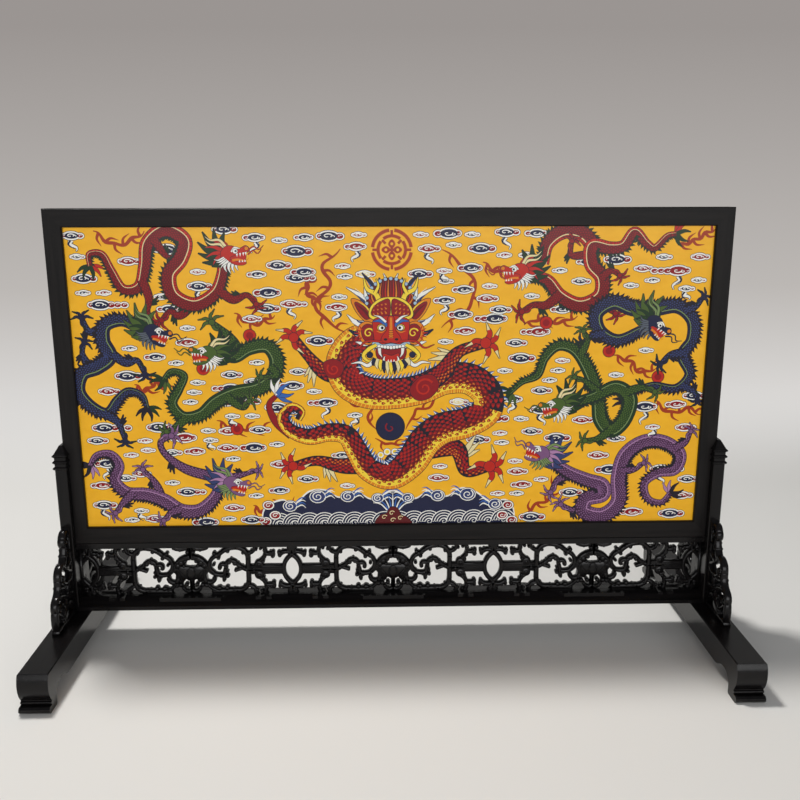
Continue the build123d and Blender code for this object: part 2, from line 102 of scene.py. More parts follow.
def add_node(material, kind, **values):
    """A shader node with its inputs set."""
    return set_sockets(material.node_tree.nodes.new(kind), **values)


def noise(material, scale, detail, roughness):
    return add_node(material, "ShaderNodeTexNoise", Scale=scale, Detail=detail, Roughness=roughness)


def ramp(material, *stops):
    """A colour ramp through (place, colour) stops."""
    node = material.node_tree.nodes.new("ShaderNodeValToRGB")
    while len(node.color_ramp.elements) < len(stops):
        node.color_ramp.elements.new(0.5)
    for element, (place, colour) in zip(node.color_ramp.elements, stops):
        element.position = place
        element.color = (*colour, 1.0)
    return node


# Painting. Flat enamel shapes in millimetres from the middle of the panel, U right and V up, listed in
# the order in which they are painted. Each shape is a ring of points and the name of its colour. Spines,
# locks and outlines are given as points, and the formulas below them make the scales, fins, fur and claws.
COLOURS = {
    "ground": (0.905, 0.470, 0.020),
    "ink": (0.016, 0.013, 0.022),
    "white": (0.86, 0.85, 0.80),
    "cream": (0.80, 0.68, 0.36),
    "lemon": (0.90, 0.66, 0.05),
    "amber": (0.72, 0.22, 0.015),
    "flame": (0.36, 0.040, 0.012),
    "scarlet": (0.50, 0.020, 0.012),
    "crimson": (0.27, 0.010, 0.014),
    "maroon": (0.115, 0.010, 0.012),
    "navy": (0.014, 0.017, 0.052),
    "indigo": (0.035, 0.050, 0.150),
    "azure": (0.040, 0.130, 0.440),
    "sky": (0.36, 0.50, 0.66),
    "forest": (0.014, 0.040, 0.014),
    "moss": (0.065, 0.115, 0.022),
    "sage": (0.19, 0.27, 0.10),
    "plum": (0.055, 0.020, 0.052),
    "mauve": (0.20, 0.090, 0.205),
    "lilac": (0.42, 0.22, 0.40),
    "slate": (0.10, 0.12, 0.15),
}
LINE = 0.55
SLIVER = 0.004
CURVE_CUTS = 12
shapes = []


def area(ring):
    """The area of a ring, below zero where it runs clockwise."""
    after = np.roll(ring, -1, axis=0)
    return (ring[:, 0] * after[:, 1] - after[:, 0] * ring[:, 1]).sum() / 2


def unit(vectors):
    return vectors / np.maximum(np.hypot(*vectors.T), 1e-9)[:, None]


def on_circle(angles):
    return np.column_stack([np.cos(angles), np.sin(angles)])


def straight(a, b, count):
    """Evenly spaced points from one place to another."""
    return a + np.linspace(0, 1, count)[:, None] * (b - a)


def heading(degrees):
    """The unit vector at an angle from the right, and the one to its left."""
    a = math.radians(degrees)
    aim = np.array([math.cos(a), math.sin(a)])
    return aim, to_left(aim)


def to_left(aim):
    return np.array([-aim[1], aim[0]])


def turned(aim, angle):
    """A vector turned anticlockwise."""
    return aim * math.cos(angle) + to_left(aim) * math.sin(angle)


def paint(points, colour):
    """Adds one shape, turned anticlockwise, and leaves out slivers."""
    ring = np.round(np.asarray(points, float), 3)
    size = area(ring)
    if abs(size) > SLIVER:
        shapes.append((ring if size > 0 else ring[::-1], colour))


def smooth(points, step=1.5, closed=False):
    """Evenly spaced points on a curve through given ones."""
    p = np.asarray(points, float)
    if closed:
        p = np.vstack([p[-1:], p, p[:2]])
    elif len(p) == 2:
        return straight(p[0], p[1], max(2, int(np.hypot(*(p[1] - p[0])) / step) + 1))
    else:
        p = np.vstack([2 * p[0] - p[1], p, 2 * p[-1] - p[-2]])
    t = np.linspace(0, 1, CURVE_CUTS, endpoint=False)[:, None]
    runs = [
        0.5 * (2 * b + (c - a) * t + (2 * a - 5 * b + 4 * c - d) * t**2 + (3 * b - a - 3 * c + d) * t**3)
        for a, b, c, d in zip(p, p[1:], p[2:], p[3:])
    ]
    fine = np.vstack(runs + [p[-2][None]])
    along = np.append(0, np.cumsum(np.hypot(*np.diff(fine, axis=0).T)))
    stops = np.linspace(0, along[-1], max(3, round(along[-1] / step) + 1))
    even = np.column_stack([np.interp(stops, along, fine[:, i]) for i in (0, 1)])
    return even[:-1] if closed else even


def sides(path):
    """Unit vectors to the left of a path at each of its points."""
    ahead = unit(np.gradient(path, axis=0))
    return np.column_stack([-ahead[:, 1], ahead[:, 0]])


def outward(ring):
    """Unit vectors that point out of a closed ring at each of its points."""
    ahead = unit(np.roll(ring, -1, axis=0) - np.roll(ring, 1, axis=0))
    out = np.column_stack([ahead[:, 1], -ahead[:, 0]])
    return -out if area(ring) < 0 else out


def spread(values, count):
    """Values given along a path, read at each of its points."""
    return np.interp(np.linspace(0, 1, count), np.linspace(0, 1, len(values)), values)


def paint_quad(a, b, c, d, colour):
    """Adds a four-sided shape, as two triangles where a sharp bend has folded it."""
    quad = np.array([a, b, c, d])
    turn = np.roll(quad, -1, axis=0) - quad
    bend = turn[:, 0] * np.roll(turn[:, 1], -1) - turn[:, 1] * np.roll(turn[:, 0], -1)
    if (bend > -1e-6).all() or (bend < 1e-6).all():
        paint(quad, colour)
    else:
        paint(quad[:3], colour)
        paint(quad[[0, 2, 3]], colour)


def band(path, left, right, colour, out=None):
    """Fills between two distances to the left of a path, as one quad for each step."""
    out = sides(path) if out is None else out
    a, b = path + out * left[:, None], path + out * right[:, None]
    for i in range(len(path) - 1):
        paint_quad(a[i], a[i + 1], b[i + 1], b[i], colour)


def lock(points, widths, colour, rim="ink", line=LINE, step=1.5):
    """A tapering stroke with an outline, such as a lock of hair, a claw or a flame."""
    path = smooth(points, step)
    half = spread(widths, len(path)) / 2
    if rim:
        band(path, half + line, -half - line, rim)
    band(path, half, -half, colour)


def blob(points, colour, rim="ink", line=LINE, step=1.2):
    """A rounded closed shape with an outline."""
    ring = smooth(points, step, closed=True)
    if rim:
        paint(ring + outward(ring) * line, rim)
    paint(ring, colour)


def disc(at, radius, colour, rim=None, line=LINE, high=None, corners=14):
    """A circle or an upright ellipse."""
    circle = on_circle(np.linspace(0, 2 * np.pi, corners, endpoint=False))
    size = np.array([radius, high or radius])
    if rim:
        paint(at + circle * (size + line), rim)
    paint(at + circle * size, colour)


def curl(at, radius, turns, start, width, colour, flat=1.0, hand=1):
    """A spiral line that winds in to its middle."""
    t = np.linspace(0, 1, max(7, int(14 * turns)))
    angle = start + hand * t * turns * 2 * np.pi
    reach = radius * (1 - 0.85 * t)
    path = np.asarray(at) + np.column_stack([reach * np.cos(angle), flat * reach * np.sin(angle)])
    half = width / 2 * (1 - 0.4 * t)
    band(path, half, -half, colour)


class Placed:
    """A drawing grid with its own place, turn, size and hand."""

    def __init__(self, at, turn=0.0, size=1.0, flip=False):
        self.at, self.size = np.asarray(at, float), size
        c, s = math.cos(turn), math.sin(turn)
        self.x = np.array([c, s])
        self.y = np.array([s, -c]) if flip else np.array([-s, c])

    def __call__(self, *points):
        p = np.asarray(points, float) * self.size
        return self.at + p[:, :1] * self.x + p[:, 1:] * self.y


# Clouds and flames
def cloud(u, v, size, inner="navy", side=1, tail=False, row=0):
    """A lobed cloud with a coloured heart, a white rim and curls, and small crimson lobes beside it."""
    a, b = 9.4 * size, 4.9 * size
    if tail:
        drop = [(u, v - b), (u - side * 2, v - b - 4 * size), (u + side * 4, v - b - 8 * size)]
        lock(drop + [(u + side * 3, v - b - 12 * size)], [3.4, 3.0, 2.0, 0.3], "white", step=1.2)
        core = [(u - side, v - b), (u - side * 3, v - b - 4), (u + side * 2, v - b - 7.4)]
        lock(core, [1.6, 1.4, 0.3], "navy", None)
    lobes = [(0, 0, 1.0, 1.0)]
    lobes += [(side * 1.02, -0.05, 0.46, 0.66), (-side * 0.85, 0.0, 0.36, 0.6)]
    lobes += [(side * (1.02 + 0.62 * k), -0.05, 0.42, 0.6) for k in range(1, row + 1)]
    for grow, colour in ((0.45, "ink"), (0.0, "white")):
        for x, y, wide, high in lobes:
            disc((u + a * x, v + b * y), a * wide + grow, colour, high=b * high + grow, corners=16)
    for x, y, wide, high in lobes[1:]:
        disc((u + a * x, v + b * y), a * wide - 1.1, "crimson", high=b * high - 1.0, corners=12)
    disc((u, v), a - 1.5, inner, high=b - 1.3, corners=16)
    curl((u - 0.12 * a, v), a * 0.50, 0.85, 0.3, 1.0, "white", 0.5, side)
    curl((u + 0.46 * a, v - 0.1 * b), a * 0.26, 0.7, 3.4, 0.8, "white", 0.55, -side)
    for x, y, wide, high in lobes[1:]:
        curl((u + a * x, v + b * y), a * wide * 0.5, 0.6, 0.6, 0.6, "white", 0.6, side)


def flame(points, width=2.6, forks=4, colour="flame"):
    """A wandering tongue of fire with short forks on alternate sides."""
    path = smooth(points, 1.5)
    out = sides(path)
    n = len(path)
    path = path + 1.3 * np.sin(np.linspace(0, math.pi * forks, n))[:, None] * out
    half = spread([width * 0.25, width, width * 0.8, width, width * 0.2], n) / 2
    for k in range(forks):
        i = int(n * (k + 0.7) / (forks + 0.5))
        hand = 1 if k % 2 else -1
        ahead = -to_left(out[i])
        tip = path[i] + out[i] * hand * width * 2.4 + ahead * width * 2.6
        bend = path[i] + out[i] * hand * width * 1.6 + ahead * width * 0.6
        lock([path[i], bend, tip], [width * 0.9, width * 0.6, 0.3], colour, None, step=1.2)
    band(path, half, -half, colour)


# Dragons. A coat names the colours of a dragon's scales, their rims, its belly, mane, fins and claws.
COATS = {
    "red": dict(rim="maroon", scale="crimson", belly="scarlet", mane=("scarlet", "forest"), fin="forest",
                face="scarlet", beard="white", claw="crimson", glint="cream"),
    "navy": dict(rim="ink", scale="indigo", belly="navy", mane=("forest", "moss"), fin="ink",
                 face="navy", beard="slate", claw="navy", glint="sage"),
    "green": dict(rim="forest", scale="moss", belly="forest", mane=("moss", "forest"), fin="forest",
                  face="moss", beard="white", claw="moss", glint="sage"),
    "purple": dict(rim="plum", scale="mauve", belly="mauve", mane=("lilac", "indigo"), fin="ink",
                   face="mauve", beard="sage", claw="mauve", glint="lilac"),
    "great": dict(rim="ink", scale="crimson", belly="amber", mane=("white", "azure"), fin="azure",
                  face="crimson", beard="cream", claw="scarlet", glint="lemon"),
}


def strip(path, out, half, low, high, colour, extra=0.0):
    """Fills part of a body's width, between two shares of its half width."""
    band(path, half * high + extra, half * low - extra, colour, out)


def zone(hand, low, high):
    """Limits across a body given for a back on its left, moved over where its back is on the right."""
    return (low, high) if hand > 0 else (-high, -low)


# Outlines of one scale, back along the body and left across it, in shares of its length and half width
WIDE_SCALE = [(-0.45, -0.8), (-0.45, 0.8), (0.25, 0.85), (0.95, 0.0), (0.25, -0.85)]
WIDE_SCALE_LIGHT = [(-0.1, -0.5), (0.1, 0.55), (0.72, 0.0)]
SMALL_SCALE = [(-0.55, 0.0), (0.05, 0.95), (0.75, 0.0), (0.05, -0.95)]
GREAT_PITCH = 3.0
SMALL_PITCH = 2.3
LIMB_PITCH = 3.4
SMALL_HEAD_SIZE = 1.12
CHUNK = 9


def scales(path, out, half, first, last, low, high, pitch, colour, fade, hand):
    """Rows of pointed scales, each row half a scale aside from the last, with tips towards the tail."""
    row_pitch = pitch * 0.78
    step = np.hypot(*(path[1] - path[0]))
    for row in range(int(first * step / row_pitch), int(last * step / row_pitch)):
        s = (row + 0.5) * row_pitch / step
        i = min(int(s), len(path) - 2)
        place = path[i] + (path[i + 1] - path[i]) * (s - i)
        left, back = out[i], -to_left(out[i])
        lo, hi = half[i] * low, half[i] * high
        count = max(1, round((hi - lo) / pitch))
        gap = (hi - lo) / count
        for k in range(count + row % 2):
            q = lo + gap * (k + (0.0 if row % 2 else 0.5))
            if q < lo + 0.2 * gap or q > hi - 0.2 * gap:
                continue
            share = (q / half[i] + 1) / 2
            share = share if hand > 0 else 1 - share
            size = 1 - fade * (1 - share)
            drawn = [(WIDE_SCALE, colour), (WIDE_SCALE_LIGHT, "amber" if share < 0.45 else "scarlet")]
            for ring, tone in drawn if pitch > GREAT_PITCH else [(SMALL_SCALE, colour)]:
                across, along = left * (gap * 0.44 * size), back * (row_pitch * size)
                paint([place + left * q + along * x + across * y for x, y in ring], tone)


def fins(path, out, half, start, stop, hand, size, colour):
    """Pointed fins along a body's back."""
    for i in range(start, stop - 1, max(2, round(size * 0.65))):
        ahead, away = -to_left(out[i]), out[i] * hand
        root = path[i] + away * half[i] * 0.9
        reach = size * min(1.0, 0.35 + half[i] / half.max())
        tip = root + away * reach * 1.25 + ahead * reach * 0.7
        base = ahead * reach * 0.55
        paint([root - base - ahead * LINE, root + base + ahead * LINE, tip + away * LINE], "ink")
        paint([root - base, root + base, tip], colour)
        if colour == "azure":
            paint([root + base * 0.2, root + base, tip], "white")


def body(spine, widths, coat, back, pitch, fin=3.0, turn_over=1.0, limbs=()):
    """A scaled body painted from the tail to the neck, so that nearer coils lie on farther ones."""
    path = smooth(spine, 1.4)
    out, n = sides(path), len(path)
    half = spread(widths, n) / 2
    great = pitch > GREAT_PITCH
    edge = 0.76 if great else 0.52
    for start in reversed(range(0, n - 1, CHUNK)):
        stop = min(n, start + CHUNK + 1)
        hand = back if start < turn_over * n else -back
        p, o, h = path[start:stop], out[start:stop], half[start:stop]
        fins(path, out, half, start, stop, hand, fin, coat["fin"])
        strip(p, o, h, -1, 1, "ink", LINE)
        strip(p, o, h, -1, 1, coat["rim"])
        if great:
            strip(p, o, h, *zone(hand, -0.8, -0.38), "lemon")
            strip(p, o, h, *zone(hand, -0.38, 0.1), "maroon")
        belly = zone(hand, -1.0, -edge)
        strip(p, o, h, *belly, coat["belly"])
        for i in range(0, len(p) - 1, 2):
            a, b = (p[i] + o[i] * h[i] * share for share in belly)
            slant = (p[i + 1] - p[i]) * 0.42
            paint([a, a + slant, b + slant * 1.6, b + slant * 0.9], "lemon" if great else coat["rim"])
        scales(path, out, half, start, stop - 1, *zone(hand, -edge, 1.0), pitch, coat["scale"], 0.25, hand)
        if great:
            strip(p, o, h, *zone(hand, 0.97, 1.0), "ink")
        else:
            strip(p, o, h, *zone(hand, -edge - 0.07, -edge + 0.07), coat["glint"])
        for at, points, girth in limbs:
            if start <= at * n < stop:
                limb(points, girth, coat, pitch)


def limb(points, girth, coat, pitch):
    """A scaled leg with fur at its elbow, and a paw with four claws and a spur."""
    path = smooth(points, 1.4)
    out, n = sides(path), len(path)
    half = spread([girth * 0.9, girth * 0.8, girth * 0.5, girth * 0.4], n) / 2
    great = pitch > GREAT_PITCH
    elbow, away = path[int(n * 0.55)], out[int(n * 0.55)]
    ahead = -to_left(away)
    for k in (-1, 0, 1):
        tip = elbow + away * girth * (0.95 - 0.1 * abs(k)) - ahead * girth * (0.45 + 0.35 * k)
        fur = [elbow - ahead * k, (elbow + tip) / 2 + ahead * 0.6, tip]
        lock(fur, [girth * 0.26, girth * 0.2, 0.2], "cream" if great else coat["fin"])
    strip(path, out, half, -1, 1, "ink", LINE)
    strip(path, out, half, -1, 1, coat["rim"])
    scales(path, out, half, 0, n - 1, -0.96, 0.96, min(pitch, LIMB_PITCH), coat["scale"], 0.0, 1)
    wrist = path[-1]
    aim = wrist - path[-3]
    aim /= np.hypot(*aim)
    reach = girth * (0.8 if great else 0.95)
    for degrees in (-88, -40, 5, 48, 150):
        angle = math.radians(degrees)
        knuckle = wrist + turned(aim, angle) * reach * 0.55
        hooked = turned(aim, angle + math.copysign(0.75, degrees)) * reach
        finger = [girth * 0.26, girth * 0.22, girth * 0.16]
        lock([wrist, knuckle, knuckle + hooked * 0.3], finger, coat["claw"], step=1.2)
        lock([knuckle + hooked * 0.25, knuckle + hooked * 0.75], [girth * 0.13, 0.15],
             "cream" if great else coat["mane"][0], step=1.0)
    disc(wrist, girth * 0.24, coat["claw"], rim="ink", corners=10)


def small_head(at, turn, size, flip, coat):
    """A dragon's head from the side: mane, horns, brow, snout, open jaws, teeth, beard and feelers."""
    g = Placed(at, math.radians(turn), size, flip)
    bright, deep = coat["mane"]

    def hair(points, widths, tip, colour, rim="ink", line=LINE):
        lock(g(*points), [width * size for width in widths] + [tip], colour, rim, line)

    for k, long in enumerate((17, 22, 25, 24, 22, 20, 15, 11)):
        aim, side = heading(92 + 21 * k)
        root = (-2.0, 1.5)
        hair([root, root + aim * long * 0.55 + side * 2.2, root + aim * long - side], [6.5, 5.2], 0.3, deep)
    for k, long in enumerate((12, 16, 18, 17, 14, 10)):
        aim, side = heading(104 + 25 * k)
        root = (-1.0, 1.5)
        tip = root + aim * long + side * 1.6
        hair([root, root + aim * long * 0.6 - side * 1.4, tip], [3.6, 2.8], 0.2, bright, line=0.35)
    for lift in (0.0, 3.2):
        horn = [(-1, 5 + lift * 0.3), (-6, 9.5 + lift), (-13, 10 + lift), (-17, 13 + lift)]
        hair(horn, [2.2, 1.8, 1.4], 0.2, "cream" if coat["beard"] == "white" else "sage", line=0.4)
    for x, long in ((-3, 8), (0, 9.5), (3, 9), (6, 7.5)):
        wisp = [(x, -4), (x - 1.5, -4 - long * 0.55), (x - 0.2, -4 - long)]
        hair(wisp, [2.6, 1.8], 0.2, coat["beard"], line=0.4)
    skull = [(-6, 3.5), (-2, 7.4), (3, 7.6), (6.5, 5.6), (10, 5.6), (13.5, 7.2), (16, 5), (15.4, 2.4),
             (11, 1.6), (5, -0.4), (-1, -4.5), (-5.5, -2)]
    blob(g(*skull), coat["face"], line=0.45)
    blob(g((1, -1.2), (6, 0.4), (12.5, 1.8), (13, -1.5), (11, -5), (5, -5.5), (1.5, -4)), "scarlet", line=0.4)
    blob(g((0, -4), (4, -6.8), (10, -7.6), (13, -6), (11.5, -4.8), (6, -5.0), (2, -3)), coat["face"], line=0.4)
    hair([(2, -3.4), (7, -3.2), (12, -4.4), (15, -2.6)], [1.8, 1.6], 0.3, "amber", None)
    for x in (5.5, 8.0, 10.5, 12.4):
        paint(g((x, 0.9 + 0.1 * x), (x + 1.5, 1.1 + 0.1 * x), (x + 0.6, -1.6 + 0.08 * x)), "white")
    for x in (7.0, 9.2, 11.2):
        paint(g((x, -5.2), (x + 1.3, -5.3), (x + 0.7, -3.2)), "white")
    disc(g((14.0, 5.0))[0], 1.5 * size, "amber", rim="ink", line=0.3, corners=10)
    hair([(2, 3.2), (5, 6.0), (9, 5.2)], [1.0, 2.0], 0.3, "white", line=0.3)
    disc(g((5.0, 3.6))[0], 1.9 * size, "white", rim="ink", line=0.3, corners=12)
    disc(g((5.5, 3.5))[0], 0.9 * size, "ink", corners=8)
    for lift, long in ((0.0, 13), (-3.0, 11)):
        feeler = [(0, 3 + lift), (long * 0.4, 6 + lift), (long * 0.7, 3.4 + lift), (long, 6.4 + lift)]
        hair([(14.5 + x, y) for x, y in feeler], [0.9, 0.7, 0.6], 0.2, coat["face"], line=0.25)
    for k in range(4):
        wisp = [(-4 + k, -1 - k * 0.9), (-9 + k, -2.6 - k * 1.4), (-12 + 1.6 * k, -1.6 - 2.4 * k)]
        hair(wisp, [1.9, 1.3], 0.2, coat["beard"], line=0.35)


def tuft(at, aim, size, colours):
    """The flame-shaped tuft at the end of a tail."""
    for k, degrees in enumerate((-70, 70, -38, 38, 0)):
        away = turned(aim, math.radians(degrees))
        side = to_left(away) * math.copysign(1.0, degrees)
        lock([at, at + away * size * 0.55 + side * size * 0.12, at + away * size],
             [size * 0.26, size * 0.22, 0.2], colours[k % len(colours)], line=0.4)


def small_dragon(coat_name, head, turn, flip, back, spine, limbs, width=12.4):
    """One of the eight lesser dragons. A limb has its share along the body, or -1 where it lies behind it."""
    coat = COATS[coat_name]
    path = smooth(spine, 1.0)
    aim = path[-1] - path[-4]
    tuft(path[-1], aim / np.hypot(*aim), 13.0, (coat["fin"], coat["mane"][0]))
    for at, points, girth in limbs:
        if at < 0:
            limb(points, girth, coat, SMALL_PITCH)
    widths = [width * share for share in (0.62, 0.86, 1.0, 1.0, 0.95, 0.85, 0.7, 0.5, 0.3)]
    body(spine, widths, coat, back, SMALL_PITCH, limbs=[entry for entry in limbs if entry[0] >= 0])
    small_head(head, turn, SMALL_HEAD_SIZE, flip, coat)


def mirrored(points):
    return [(-x, y) for x, y in points]


def great_head(at):
    """The great dragon's face, seen from the front, drawn as one half and its mirror image."""
    g = Placed(at)

    def pair(draw, points, *rest, **named):
        single = np.ndim(points) == 1
        rows = [points] if single else points
        for placed in (g(*rows), g(*mirrored(rows))):
            draw(placed[0] if single else placed, *rest, **named)

    # side locks: white flames with blue roots
    for k, long in enumerate((56, 58, 52, 49, 46, 45, 42, 38, 33)):
        aim, side = heading(46 + 19 * k)
        root = aim * 14
        bend = root + aim * (long - 14) * 0.6 + side * 3
        pair(lock, [root, bend, aim * long - side], [7.5, 5.6, 0.3], "navy" if k % 2 else "white")
        pair(lock, [root, root + aim * (long - 14) * 0.55 + side * 1.5, aim * (long - 9)], [4.8, 3.2, 0.3],
             "azure" if k % 3 else "indigo", None)
        pair(lock, [root + side * 3, root + aim * (long - 14) * 0.5 + side * 5, aim * (long - 6) + side * 4],
             [1.6, 1.2, 0.2], "white", None)
    # hair over the crown
    blob(g((-22, 14), (-20, 32), (-13, 43), (0, 47.5), (13, 43), (20, 32), (22, 14), (0, 8)), "maroon")
    for k in range(-8, 9):
        lock(g((k * 1.2, 16), (k * 2.4, 34 - abs(k) * 0.6), (k * 2.1, 46 - k * k * 0.18)), [0.9, 1.5, 0.3],
             ("crimson", "scarlet", "amber")[k % 3], None)
    for k in range(-8, 9):
        disc(g((0, 25.5) + heading(90 + 13 * k)[0] * 21.5)[0], 1.5, "sky", rim="ink", line=0.4, corners=9)
    # antlers
    pair(lock, [(-9, 22), (-13, 33), (-21, 38), (-24, 48)], [4.6, 4.0, 3.0, 0.5], "lemon")
    pair(lock, [(-14, 34), (-11, 41), (-13, 47)], [2.8, 2.0, 0.4], "lemon")
    # ears
    pair(blob, [(-16, 15), (-25, 26), (-35, 29), (-31, 18), (-23, 9), (-17, 7)], "amber")
    pair(blob, [(-18, 15), (-25, 23), (-32, 26), (-28, 17), (-22, 11)], "crimson")
    pair(lock, [(-18, 12), (-24, 19), (-31, 24.5)], [3.0, 2.2, 0.3], "maroon", None)
    pair(lock, [(-17, 14), (-22, 22), (-29, 27)], [1.2, 1.0, 0.3], "lemon", None)
    # cheeks: red fans with lemon rims
    pair(blob, [(-13, 4), (-22, 9), (-29, 4), (-28, -6), (-22, -12), (-14, -8)], "amber")
    pair(blob, [(-14, 3), (-21, 6.5), (-26, 2.5), (-25, -5.5), (-20, -10), (-15, -6)], "crimson")
    pair(curl, (-20, -1.5), 4.6, 1.2, 0.4, 1.3, "lemon")
    for k in range(5):
        aim = heading(120 + 28 * k)[0]
        pair(lock, [(-24, -2) + aim * 4, (-24, -2) + aim * 9], [1.8, 0.3], "scarlet", None)
    # brow and forehead
    brow = [(-19, 13), (-18, 22), (-10, 29), (0, 30.5), (10, 29), (18, 22), (19, 13), (9, 9), (0, 8), (-9, 9)]
    blob(g(*brow), "lemon")
    blob(g((-17, 15), (-15, 22), (-8, 27), (-1.4, 28), (-1.4, 14), (-8, 13)), "crimson")
    blob(g((17, 15), (15, 22), (8, 27), (1.4, 28), (1.4, 14), (8, 13)), "crimson")
    for k in range(3):
        for j in range(4):
            root = (-4 - 3.6 * j, 16 + 4 * k - 0.4 * j)
            pair(lock, [root, (-5.6 - 3.4 * j, 18.6 + 3.2 * k - 0.8 * j)], [1.5, 0.3], "amber", None)
    # face
    face = [(-16, 9), (-15, -6), (-13, -14), (0, -17), (13, -14), (15, -6), (16, 9), (8, 13), (0, 14), (-8, 13)]
    blob(g(*face), "scarlet")
    pair(lock, [(-3.4, 5), (-9, 9.5), (-16, 9)], [2.6, 3.0, 0.4], "azure", line=0.4)
    pair(lock, [(-4.5, 8.5), (-10, 13), (-15, 14.5)], [2.0, 1.8, 0.3], "white", line=0.4)
    pair(disc, [(-8.6, 3.4)], 3.6, "lemon", rim="ink", high=2.9)
    pair(disc, [(-8.3, 3.2)], 2.7, "white", rim="ink", high=2.2)
    pair(disc, [(-7.8, 3.2)], 1.3, "ink", high=1.4)
    pair(lock, [(-13, 0.4), (-8.6, -0.8), (-4.4, 1.6)], [0.4, 1.2, 0.3], "amber", None)
    # nose
    blob(g((-2.6, 12), (-3.4, 2), (-7.5, -4), (-8.6, -8.4), (-4, -10.6), (0, -9.8), (4, -10.6), (8.6, -8.4),
           (7.5, -4), (3.4, 2), (2.6, 12), (0, 14)), "scarlet")
    lock(g((0, 12.5), (0, 2), (0, -6)), [2.0, 2.6, 3.4], "amber", None)
    pair(disc, [(-4.9, -7.2)], 1.7, "ink", high=1.2)
    for k in range(4):
        lock(g((-2.4, 1.5 - 2 * k), (0, 0.6 - 2 * k), (2.4, 1.5 - 2 * k)), [0.3, 0.7, 0.3], "maroon", None)
    # upper lip with teeth
    blob(g((-15, -8.5), (-8, -11.8), (0, -11), (8, -11.8), (15, -8.5), (17, -14), (8, -15.6), (0, -15),
           (-8, -15.6), (-17, -14)), "sky")
    for k in range(-5, 6):
        disc(g((k * 2.7, -14.6 + abs(k) * 0.25))[0], 1.5, "white", rim="ink", line=0.3, corners=9)
    # mouth
    blob(g((-12, -15), (0, -17), (12, -15), (13, -22), (8, -28), (0, -29.5), (-8, -28), (-13, -22)), "crimson")
    blob(g((-7, -20), (0, -22), (7, -20), (6, -26.5), (0, -28), (-6, -26.5)), "scarlet")
    pair(lock, [(-10.5, -15), (-10, -20), (-8, -23.4)], [2.9, 2.2, 0.2], "white", line=0.35)
    pair(lock, [(-6.4, -28.5), (-6.6, -25), (-5.6, -22.4)], [2.4, 1.6, 0.2], "white", line=0.35)
    for k in (-1, 0, 1):
        paint(g((k * 2.6 - 1.2, -28.4), (k * 2.6 + 1.2, -28.4), (k * 2.6, -25.2)), "white")
    # moustache curls and jaw
    whisker = [(-13, -12), (-20, -16), (-25, -22), (-20, -27), (-16, -24)]
    pair(lock, whisker, [2.6, 3.4, 3.0, 2.2, 0.5], "lemon")
    pair(lock, [(-15, -26), (-21, -31), (-28, -28), (-36, -29)], [3.4, 3.0, 2.0, 0.3], "white")
    pair(disc, [(-19.2, -21.2)], 2.6, "navy", rim="ink")
    # beard
    for k in range(-5, 6):
        lock(g((k * 2.8, -28 + abs(k) * 0.7), (k * 3.3, -34 + abs(k) * 0.9), (k * 3.0, -39.5 + k * k * 0.34)),
             [4.2, 3.2, 0.3], ("lemon", "navy", "cream")[k % 3], line=0.45)
    # feelers
    pair(lock, [(-8, -9), (-22, -9), (-30, -15), (-39, -12)], [1.6, 1.4, 1.2, 0.3], "scarlet", line=0.4)


GREAT_SPINE = [
    (-14, 44), (-34, 36), (-45, 18), (-40, -1), (-22, -11), (2, -12), (26, -8), (48, 1), (70, 1), (86, -12),
    (86, -29), (68, -40), (46, -45), (30, -57), (17, -77), (-2, -91), (-22, -84), (-33, -66), (-42, -51),
    (-58, -48), (-76, -52), (-93, -46), (-100, -34), (-92, -24), (-83, -28), (-86, -36),
]
GREAT_GIRTH = [
    20, 25, 28, 29, 29, 28, 27, 27, 28, 28, 27, 27, 28, 29, 29, 28, 25, 22, 20, 18, 16, 14, 11, 8, 5,
]


def great_dragon():
    coat = COATS["great"]
    # the tail's tip comes out behind the curl
    lock([(-92, -50), (-106, -38), (-112, -22), (-104, -12)], [9, 7, 5, 3], "crimson")
    tuft((-104, -12), np.array([0.75, 0.66]), 15.0, ("azure", "white"))
    limb([(-20, -80), (-48, -80), (-70, -75), (-92, -80)], 18.0, coat, LIMB_PITCH)
    limb([(-36, 4), (-60, 8), (-76, 24), (-88, 40)], 18.0, coat, LIMB_PITCH)
    limb([(22, -66), (58, -64), (68, -86), (90, -82)], 22.0, coat, LIMB_PITCH)
    body(GREAT_SPINE, GREAT_GIRTH, coat, 1, 4.4, fin=4.4, turn_over=0.43)
    limb([(28, -6), (46, 8), (60, 26), (84, 34)], 20.0, coat, LIMB_PITCH)
    blob([(16, -8), (26, 4), (38, 4), (42, -6), (34, -16), (22, -18)], "crimson")
    curl((29, -7), 9.0, 1.4, 0.6, 2.0, "scarlet")
    blob([(-62, 16), (-52, 20), (-44, 14), (-48, 4), (-58, 4)], "crimson")
    curl((-53, 11), 6.0, 1.3, 2.4, 1.6, "scarlet")
    great_head((-1, 45))


